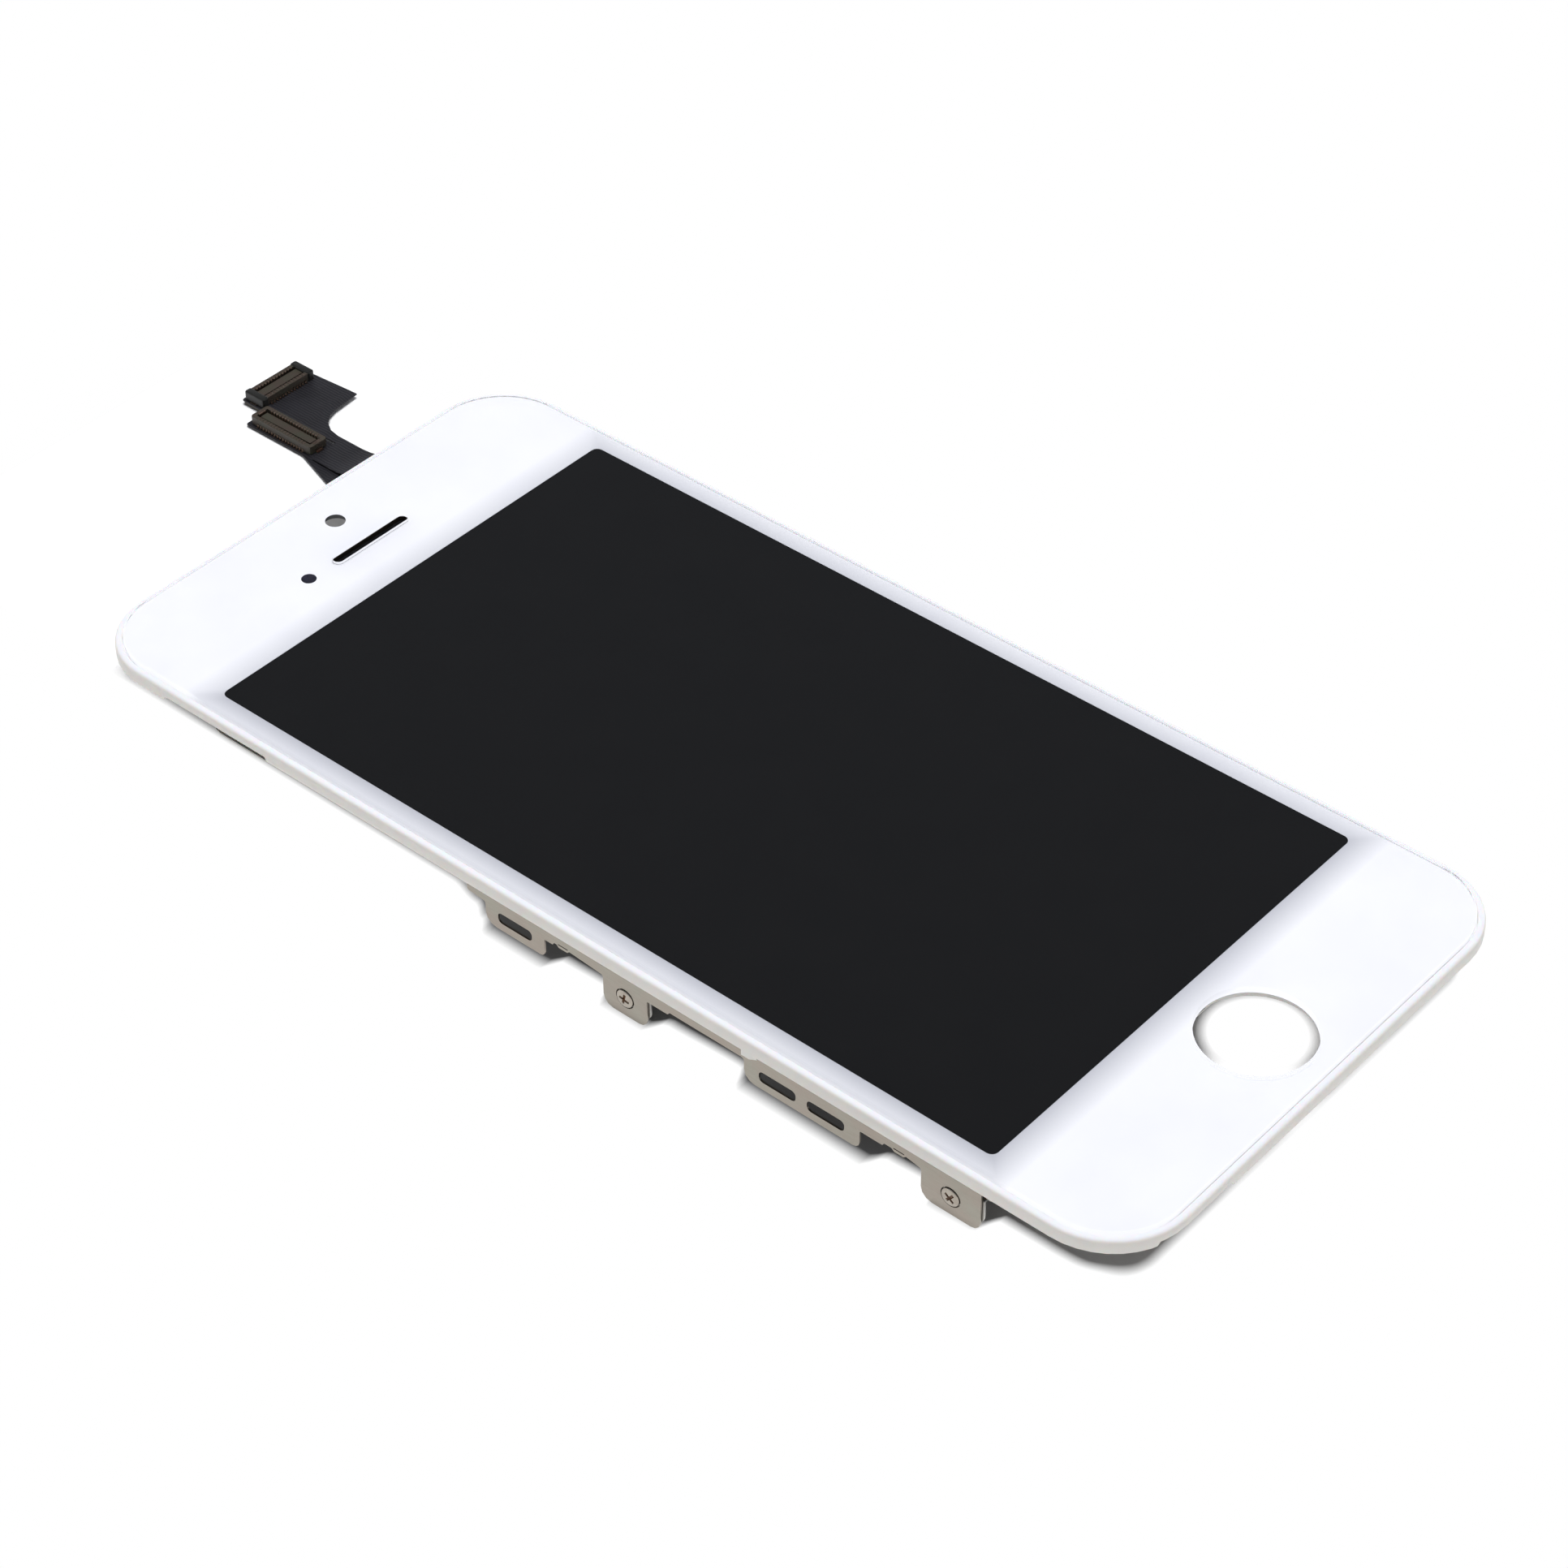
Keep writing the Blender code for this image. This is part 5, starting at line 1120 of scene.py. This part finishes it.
@dataclass
class SideScrew:
    """Pan-head screw with a cross recess, modelled about Z and turned onto the side."""

    head_radius: float = 0.91
    head_height: float = 0.4
    dome_height: float = 0.16
    shank_radius: float = 0.55
    length: float = 1.5
    recess_reach: float = 0.6
    recess_half_width: float = 0.13
    recess_depth: float = 0.22
    recess_side_slope: float = 0.035
    recess_end_slope: float = 0.3
    tip_start: float = 0.9
    tip_radius: float = 0.7
    dome_share: float = 0.985
    head_foot: float = 0.1
    painted_shade_depth: float = 0.3
    steps: int = 144
    rings: int = 60

    def profile(self) -> tuple[np.ndarray, np.ndarray]:
        """Radii and heights from the middle of the head's top, over its edge and down the shank.

        The top is a flattened dome on a straight edge: the dome's height falls with the root of
        one less the fourth power of the share of the radius.
        """
        share = np.linspace(0.0, self.dome_share, self.rings)
        edge = self.head_height - self.dome_height
        radii = [share * self.head_radius, [self.head_radius] * 2]
        heights = [edge + self.dome_height * np.sqrt(1.0 - share**4), [edge, 0.0]]
        radii.append([self.shank_radius, self.shank_radius, self.tip_radius * self.shank_radius, 0.0])
        heights.append([0.0, -self.tip_start * self.length, -self.length, -self.length])
        return np.concatenate(radii), np.concatenate(heights)

    def recess(self, x: np.ndarray, y: np.ndarray, angle: float) -> np.ndarray:
        """Depth of the cross recess, turned by the angle in radians, at each point.

        Each arm is a bar: the share inside it falls from one to nothing over a short slope at its
        sides and a longer one at its ends, and the deeper of the two arms counts.
        """
        run = x * math.cos(angle) + y * math.sin(angle)
        beside = y * math.cos(angle) - x * math.sin(angle)
        depth = np.zeros_like(x)
        for along, across in ((run, beside), (beside, run)):
            sides = np.clip((self.recess_half_width - np.abs(across)) / self.recess_side_slope, 0.0, 1.0)
            ends = np.clip((self.recess_reach - np.abs(along)) / self.recess_end_slope, 0.0, 1.0)
            depth = np.maximum(depth, np.minimum(sides, ends))
        return self.recess_depth * depth

    def place(
        self,
        name: str,
        side: int,
        seat: tuple[float, float, float],
        turn: float,
        finish: bpy.types.Material,
        painted_recess_shade: bpy.types.Material,
    ) -> bpy.types.Object:
        """Builds one screw with its seat at the given place and its head facing out.

        Args:
            name: the piece's name.
            side: -1 for the left side, 1 for the right.
            seat: distance of the seat from the middle plane, then its y and z, in mm.
            turn: angle of the cross recess in degrees.
            finish: the screw's material.
            painted_recess_shade: the dark material that paints shade into the recess.

        Returns:
            The screw.
        """
        seat_x, y, z = seat
        angle = math.radians(turn)
        points, quads = revolved_skin(*self.profile(), self.steps)
        top = np.arange(len(points)) < self.rings * self.steps
        sunk = np.where(top, self.recess(points[:, 0], points[:, 1], angle), 0.0)
        out = side * (points[:, 2] - sunk + seat_x)
        turned = np.stack([out, points[:, 1] + y, points[:, 0] * side + z], axis=1)
        screw = mesh_object(name, turned * MM, quads.tolist(), finish, 50.0)
        screw.data.materials.append(painted_recess_shade)
        centres = np.empty(3 * len(screw.data.polygons))
        screw.data.polygons.foreach_get("center", centres)
        centres = centres.reshape(-1, 3) / MM
        depth = self.recess((centres[:, 2] - z) * side, centres[:, 1] - y, angle)
        on_head = centres[:, 0] * side - seat_x > self.head_foot * self.head_height
        # Faces deep in the cross recess take the dark material: painted shade.
        in_recess = on_head & (depth > self.painted_shade_depth * self.recess_depth)
        screw.data.polygons.foreach_set("material_index", in_recess.astype(np.int32))
        return screw


@dataclass
class SideBrackets:
    """Folded brackets with their screws and the bosses the screws run into."""

    edge: EdgeBreak = EdgeBreak(0.035, 2, 30.0)
    turns: tuple[float, ...] = (12.0, 38.0, 25.0, 61.0)

    def build(self, finishes: dict[str, bpy.types.Material]) -> None:
        """Builds both sides."""
        number = 0
        for side, word in ((-1, "left"), (1, "right")):
            node = f"{word}_side_bracket"
            bracket = broken_copy(node, f"{node}_folded", finishes["nickel"], self.edge)
            for end in ("upper", "lower"):
                node = f"{word}_{end}_screw"
                low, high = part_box(node)
                seat = min(abs(low[0]), abs(high[0])) / MM + SideScrew.length
                middle = [(low[axis] + high[axis]) / 2 / MM for axis in (1, 2)]
                looks = finishes["screw"], finishes["recess"]
                piece = SideScrew().place(f"{node}_headed", side, (seat, *middle), self.turns[number], *looks)
                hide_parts(node)
                number += 1
                node = f"{word}_{end}_thread_boss"
                boss = broken_copy(node, f"{node}_turned", finishes["screw"], EdgeBreak(0.05))


@dataclass
class Shield:
    """Shield plate over the back of the backlight."""

    edge: EdgeBreak = EdgeBreak(0.035, 2, 30.0)

    def build(self, finishes: dict[str, bpy.types.Material]) -> None:
        """Builds the plate."""
        plate = broken_copy("shield_plate", "shield_plate_folded", finishes["shield"], self.edge)


@dataclass
class BoardConnector:
    """Plated contacts, end clips and ears of one board connector's housing."""

    word: str
    along: int
    ears: bool
    pitch: float = 0.4
    contact_width: float = 0.19
    contact_thickness: float = 0.06
    contact_lift: float = 0.02
    tail_top: float = 0.34
    hook_foot: float = 0.45
    end_margin: float = 0.95
    tail_reach: float = 0.26
    wall: float = 0.45
    clip_width: float = 0.9
    ear_length: float = 0.85
    ear_overhang: float = 0.12
    ear_rise: float = 0.1
    ear_rounds: tuple[float, float] = (0.16, 0.24)
    ear_foot: float = 0.02
    ear_spans: int = 6

    def turned(self, points: np.ndarray, foot: np.ndarray, sides: int, at_end: bool) -> np.ndarray:
        """Places rows of along, across and height about the housing's foot, at one side or end."""
        run = 1 - self.along if at_end else self.along
        placed = np.empty_like(points)
        placed[:, run] = points[:, 0] + foot[run]
        placed[:, 1 - run] = sides * points[:, 1] + foot[1 - run]
        placed[:, 2] = points[:, 2] + foot[2]
        return placed * MM

    def contact_path(self, half: float, height: float) -> tuple[np.ndarray, np.ndarray]:
        """A contact from its foot up the wall, and its other part over the wall into the moat."""
        inner = half - self.wall
        out, lift = self.contact_thickness, self.contact_lift
        tail = [
            (half + self.tail_reach, out),
            (half + 1.2 * out, out),
            (half + out, 1.6 * out),
            (half + out, self.tail_top * height),
        ]
        hook = [
            (half - 0.1, height - lift),
            (half - 0.14, height + lift),
            (inner - lift, height + lift),
            (inner - out, height - 2 * lift),
            (inner - out, self.hook_foot * height),
        ]
        return np.array(tail), np.array(hook)

    def build(self, finishes: dict[str, bpy.types.Material]) -> None:
        """Builds the rows of contacts on both long sides, a clip at each end and the ears."""
        low, high = (np.array(corner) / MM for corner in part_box(f"{self.word}_connector"))
        half = (high - low) / 2
        foot = np.array([*(low + half)[:2], low[2]])
        half_run, half_across = half[self.along], half[1 - self.along]
        count = int((half_run - self.end_margin) / self.pitch)
        places = self.pitch * np.arange(-count, count + 1)
        skins = []
        for sides in (-1, 1):
            for path in self.contact_path(half_across, 2 * half[2]):
                points, faces = strips(path, places, self.contact_width, self.contact_thickness)
                skins.append((self.turned(points, foot, sides, False), faces))
            for path in self.contact_path(half_run, 2 * half[2])[:1 if self.ears else 2]:
                points, faces = strips(path, np.zeros(1), self.clip_width, self.contact_thickness)
                skins.append((self.turned(points, foot, sides, True), faces))
        mesh_object(f"{self.word}_connector_contacts", *join_skins(skins), finishes["contact"])
        if self.ears:
            for sides, word in ((-1, "left"), (1, "right")):
                self.build_ear(word, sides, foot, half, finishes["ear"])

    def build_ear(
        self, word: str, sides: int, foot: np.ndarray, half: np.ndarray, finish: bpy.types.Material
    ) -> None:
        """Builds the raised block at one end: outlines drawn in step by step round its top edge.

        The inset grows as one less the cosine and the height as the sine of the same angle.
        """
        reach = [0.0, 0.0]
        reach[self.along] = self.ear_length / 2
        reach[1 - self.along] = half[1 - self.along] + self.ear_overhang
        centre = foot[:2].tolist()
        centre[self.along] += sides * (half[self.along] + self.ear_overhang - self.ear_length / 2)
        angle = np.linspace(0.0, math.pi / 2, self.ear_spans)
        rounding, corner = self.ear_rounds
        insets = np.concatenate([[0.0], rounding * (1 - np.cos(angle))])
        top = 2 * half[2] + self.ear_rise
        heights = foot[2] + np.concatenate([[self.ear_foot], top - rounding * (1 - np.sin(angle))])
        loops = [
            rounded_box(reach[0] - inset, reach[1] - inset, corner - inset, tuple(centre), self.ear_spans)
            for inset in insets.tolist()
        ]
        points, quads = swept_skin(loops, heights)
        count = len(loops[0])
        faces = quads.tolist() + [list(range(count)), list(range(len(points) - count, len(points)))]
        mesh_object(f"{self.word}_connector_{word}_ear", points, faces, finish)


@dataclass
class Circuits:
    """The two flexible circuits with their stiffeners and board connectors."""

    edge: EdgeBreak = EdgeBreak(0.02, 1, 40.0)

    def build(self, finishes: dict[str, bpy.types.Material]) -> None:
        """Builds the circuits."""
        for word in ("display", "touch"):
            flex = broken_copy(f"{word}_flex", f"{word}_flex_covered", finishes["circuit"], self.edge)
            dress(f"{word}_stiffener", finishes["stiffener"])
            node = f"{word}_connector"
            housing = broken_copy(node, f"{node}_moulded", finishes["housing"], EdgeBreak(0.04))
        BoardConnector("display", along=1, ears=False).build(finishes)
        BoardConnector("touch", along=0, ears=True).build(finishes)


# Studio


@dataclass
class Studio:
    """Pale table, soft light and the camera."""

    eye: tuple[float, float, float] = (-203.02, -174.54, 227.66)
    forward: tuple[float, float, float] = (0.57654, 0.49244, -0.65200)
    right: tuple[float, float, float] = (0.65020, -0.75976, 0.00111)
    lens_mm: float = 90.80
    sensor_mm: float = 36.0
    table_z: float = -6.31
    table_size: float = 6000.0
    clip: tuple[float, float] = (0.01, 50.0)
    table_albedo: float = 0.9
    table_roughness: float = 0.9
    shown_albedo: float = 0.1
    # Painted shade under the panel: rays that look at the table see this darker colour there, fading out
    # between these two places along Y.
    painted_shade_albedo: float = 0.42
    painted_shade_end: tuple[float, float] = (46.0, 56.0)
    home: tuple[float, float] = (0.0, -52.4)
    home_reach: tuple[float, float] = (11.5, 14.0)
    opening: tuple[float, float] = (5.3, -49.35)
    opening_reach: tuple[float, float] = (4.3, 5.35)
    open_middle: float = 17.45
    open_edge: tuple[float, float, float] = (27.9, 77.55, 7.0)
    open_start: float = -2.6
    open_width: float = 1.0
    open_soften: float = 0.4
    open_shifts: tuple[tuple[float, float], ...] = (
        (-60.2, -0.1), (-58.0, -0.1), (-55.0, -0.7), (-51.0, -0.5), (-46.2, -0.45), (-44.9, 1.35),
        (-40.6, 1.5), (-39.2, -0.1), (-34.7, 0.1), (-33.3, 1.5), (-20.2, 1.5), (-18.6, -0.15),
        (-10.6, 0.1), (-9.3, 1.5), (-4.6, 1.5), (-3.6, 0.0), (1.3, 0.1), (2.5, 1.5),
        (9.0, 1.5), (10.5, 0.5), (12.5, -0.4), (16.0, -1.2), (60.2, -1.25),
    )
    horizon: Colour = (0.9, 0.905, 0.92)
    zenith: Colour = (0.165, 0.17, 0.19)
    horizon_top: float = 0.12
    zenith_bottom: float = 0.5
    lamp: tuple[float, float, float] = (120.0, 60.0, 900.0)
    lamp_size: float = 420.0
    lamp_watts: float = 7.6

    def build_camera(self) -> None:
        """Camera at the photograph's place, turned by its forward and right directions."""
        ahead = Vector(self.forward).normalized()
        side = Vector(self.right)
        side = (side - ahead * side.dot(ahead)).normalized()
        up = side.cross(ahead)
        data = bpy.data.cameras.new("camera")
        data.lens = self.lens_mm
        data.sensor_width = self.sensor_mm
        data.clip_start, data.clip_end = self.clip
        camera = bpy.data.objects.new("camera", data)
        axes = np.array([side, up, -ahead]).T
        place = np.eye(4)
        place[:3, :3] = axes
        place[:3, 3] = np.array(self.eye) * MM
        camera.matrix_world = Matrix(place.tolist())
        bpy.context.scene.collection.objects.link(camera)
        bpy.context.scene.camera = camera

    def patch(
        self, graph: Graph, middle: tuple[float, float], reach: tuple[float, float]
    ) -> bpy.types.NodeSocket:
        """Mask of a round patch of table with a soft edge.

        Args:
            graph: the table's nodes.
            middle: place of the patch's middle in mm.
            reach: radii in mm where the patch starts to fade and where it ends.

        Returns:
            The mask, 1 inside the patch.
        """
        centre = tuple(value * MM for value in (*middle, self.table_z))
        away = graph.measure("DISTANCE", graph.place(), centre)
        near, far = (radius * MM for radius in reach)
        return graph.span(away, 1.0, 0.0, near, far)

    def open_table(self, graph: Graph) -> bpy.types.NodeSocket:
        """Mask of the table that lies open round the assembly and its flexible circuits.

        The distance is that to a box with round corners: the root of the sum of the squares of
        how far a point is past the corner's centre, less the corner's radius.
        """
        half_x, half_y, corner = self.open_edge
        axes = graph.axes()
        along = graph.maths("SUBTRACT", axes["Y"], self.open_middle * MM)
        past = [
            graph.maths("MAXIMUM", graph.past(value, half - corner), 0.0)
            for value, half in ((axes["X"], half_x), (along, half_y))
        ]
        squares = graph.maths("ADD", *(graph.maths("POWER", value, 2.0) for value in past))
        away = graph.maths("SUBTRACT", graph.maths("SQRT", squares), corner)
        shift = self.open_shift(graph, axes["Y"])
        start = graph.maths("ADD", shift, self.open_start)
        soft = graph.maths("MULTIPLY", graph.maths("MAXIMUM", shift, 0.0), self.open_soften)
        end = graph.maths("ADD", graph.maths("ADD", start, self.open_width), soft)
        return graph.span(away, 0.0, 1.0, start, end)

    def open_shift(self, graph: Graph, along: bpy.types.NodeSocket) -> bpy.types.NodeSocket:
        """How far out the open table starts at each place along the side, in mm.

        Past the side tabs it starts further out, and past the plain rim it starts further in.
        """
        places = np.array(self.open_shifts)
        low, high = places.min(axis=0), places.max(axis=0)
        stops = (places - low) / (high - low)
        ramp = graph.add("ValToRGB", Fac=graph.span(along, 0.0, 1.0, low[0] * MM, high[0] * MM))
        bar = ramp.color_ramp
        bar.interpolation = "EASE"
        for place, level in stops[1:-1].tolist():
            bar.elements.new(place).color = (level, level, level, 1.0)
        for number, level in ((0, stops[0, 1]), (len(stops) - 1, stops[-1, 1])):
            bar.elements[number].color = (level, level, level, 1.0)
        return graph.span(ramp.outputs["Color"], low[1], high[1])

    def build_table(self) -> None:
        """Pale table that keeps the object's shadow and reads as white where it lies open.

        Rays that look at the table see plain white where it lies open or shows through the home
        opening, a painted deeper shade right under the panel (a darker colour only those rays see)
        and a little paler one past its earpiece end; the light it sends on stays that of the pale table.
        """
        half = self.table_size / 2 * MM
        height = self.table_z * MM
        mesh = bpy.data.meshes.new("table")
        corners = [(x * half, y * half, height) for x, y in ((-1, -1), (1, -1), (1, 1), (-1, 1))]
        mesh.from_pydata(corners, [], [(0, 1, 2, 3)])
        material = bpy.data.materials.new("table_paper")
        material.use_nodes = True
        graph = Graph(material.node_tree)
        paper = (self.table_albedo,) * 3
        surface = material.node_tree.nodes["Principled BSDF"]
        graph.feed(surface, "Base Color", paper)
        graph.feed(surface, "Roughness", self.table_roughness)
        graph.feed(surface, "Specular IOR Level", 0.0)
        rays = graph.add("LightPath").outputs
        seen = graph.maths("MAXIMUM", rays["Is Camera Ray"], rays["Is Glossy Ray"])
        seen = graph.maths("MAXIMUM", seen, rays["Is Transmission Ray"])
        opening = self.patch(graph, self.opening, self.opening_reach)
        bare = graph.maths("MAXIMUM", opening, self.open_table(graph))
        # Painted shade: below the panel, except round the home opening, rays that look at the table see a
        # darker colour.
        painted_shade_mask = graph.span(graph.axes()["Y"], 1.0, 0.0, *(end * MM for end in self.painted_shade_end))
        round_opening = self.patch(graph, self.home, self.home_reach)
        painted_shade_mask = graph.maths("MULTIPLY", painted_shade_mask, graph.maths("SUBTRACT", 1.0, round_opening))
        albedos = (self.shown_albedo, self.painted_shade_albedo)
        more, deep_painted_shade = (graph.add("BsdfDiffuse", Color=(albedo,) * 3) for albedo in albedos)
        white = graph.add("Emission", Color=(1.0, 1.0, 1.0), Strength=1.0)
        paler = graph.add("AddShader")
        shade, shown, mixed = (graph.add("MixShader", Fac=mask) for mask in (painted_shade_mask, bare, seen))
        for start, end, socket in (
            (surface, paler, 0),
            (more, paler, 1),
            (paler, shade, 1),
            (deep_painted_shade, shade, 2),
            (shade, shown, 1),
            (white, shown, 2),
            (surface, mixed, 1),
            (shown, mixed, 2),
            (mixed, material.node_tree.nodes["Material Output"], 0),
        ):
            graph.put(start.outputs[0], end.inputs[socket])
        mesh.materials.append(material)
        table = bpy.data.objects.new("table", mesh)
        bpy.context.scene.collection.objects.link(table)

    def build_sky(self) -> None:
        """World that falls from its level at the horizon to a lower one overhead.

        The camera sees it white, and glossy and bent rays see it white beside the horizon.
        """
        world = bpy.data.worlds.new("studio")
        bpy.context.scene.world = world
        world.use_nodes = True
        graph = Graph(world.node_tree)
        background = world.node_tree.nodes["Background"]
        place = graph.add("TexCoord")
        axes = graph.add("SeparateXYZ", Vector=place.outputs["Generated"])
        height = axes.outputs["Z"]
        level = graph.span(height, 0.0, 1.0, self.horizon_top, self.zenith_bottom)
        plain = graph.blend(level, self.horizon, self.zenith)
        rays = graph.add("LightPath").outputs
        shiny = graph.maths("MAXIMUM", rays["Is Glossy Ray"], rays["Is Transmission Ray"])
        beside = graph.span(height, 1.0, 0.0, 0.0, self.horizon_top)
        white = graph.maths("MAXIMUM", rays["Is Camera Ray"], graph.maths("MULTIPLY", shiny, beside))
        colour = graph.blend(white, plain, (1.0, 1.0, 1.0))
        graph.put(colour, background.inputs["Color"])

    def build_lamp(self) -> None:
        """Square soft lamp overhead that faces the middle of the object and isn't mirrored in it."""
        data = bpy.data.lights.new("overhead", "AREA")
        data.shape = "SQUARE"
        data.size = self.lamp_size * MM
        data.energy = self.lamp_watts
        lamp = bpy.data.objects.new("overhead", data)
        lamp.location = Vector(self.lamp) * MM
        lamp.rotation_euler = (-lamp.location).to_track_quat("-Z", "Y").to_euler()
        lamp.visible_glossy = False
        lamp.visible_transmission = False
        bpy.context.scene.collection.objects.link(lamp)

    def build(self) -> None:
        """Builds the studio."""
        self.build_camera()
        self.build_table()
        self.build_sky()
        self.build_lamp()
        bpy.context.scene.view_settings.view_transform = "Standard"


def main() -> None:
    """Builds the sub-assemblies in order, then the studio."""
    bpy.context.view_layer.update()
    effects = Effects()
    finishes = {name: finish.material(effects) for name, finish in FINISHES.items()}
    for assembly in (GlassStack(), Backlight(), Rim(), SideBrackets(), Shield(), Circuits()):
        log.info("building %s", type(assembly).__name__)
        assembly.build(finishes)
    Studio().build()


if __name__ == "__main__":
    main()
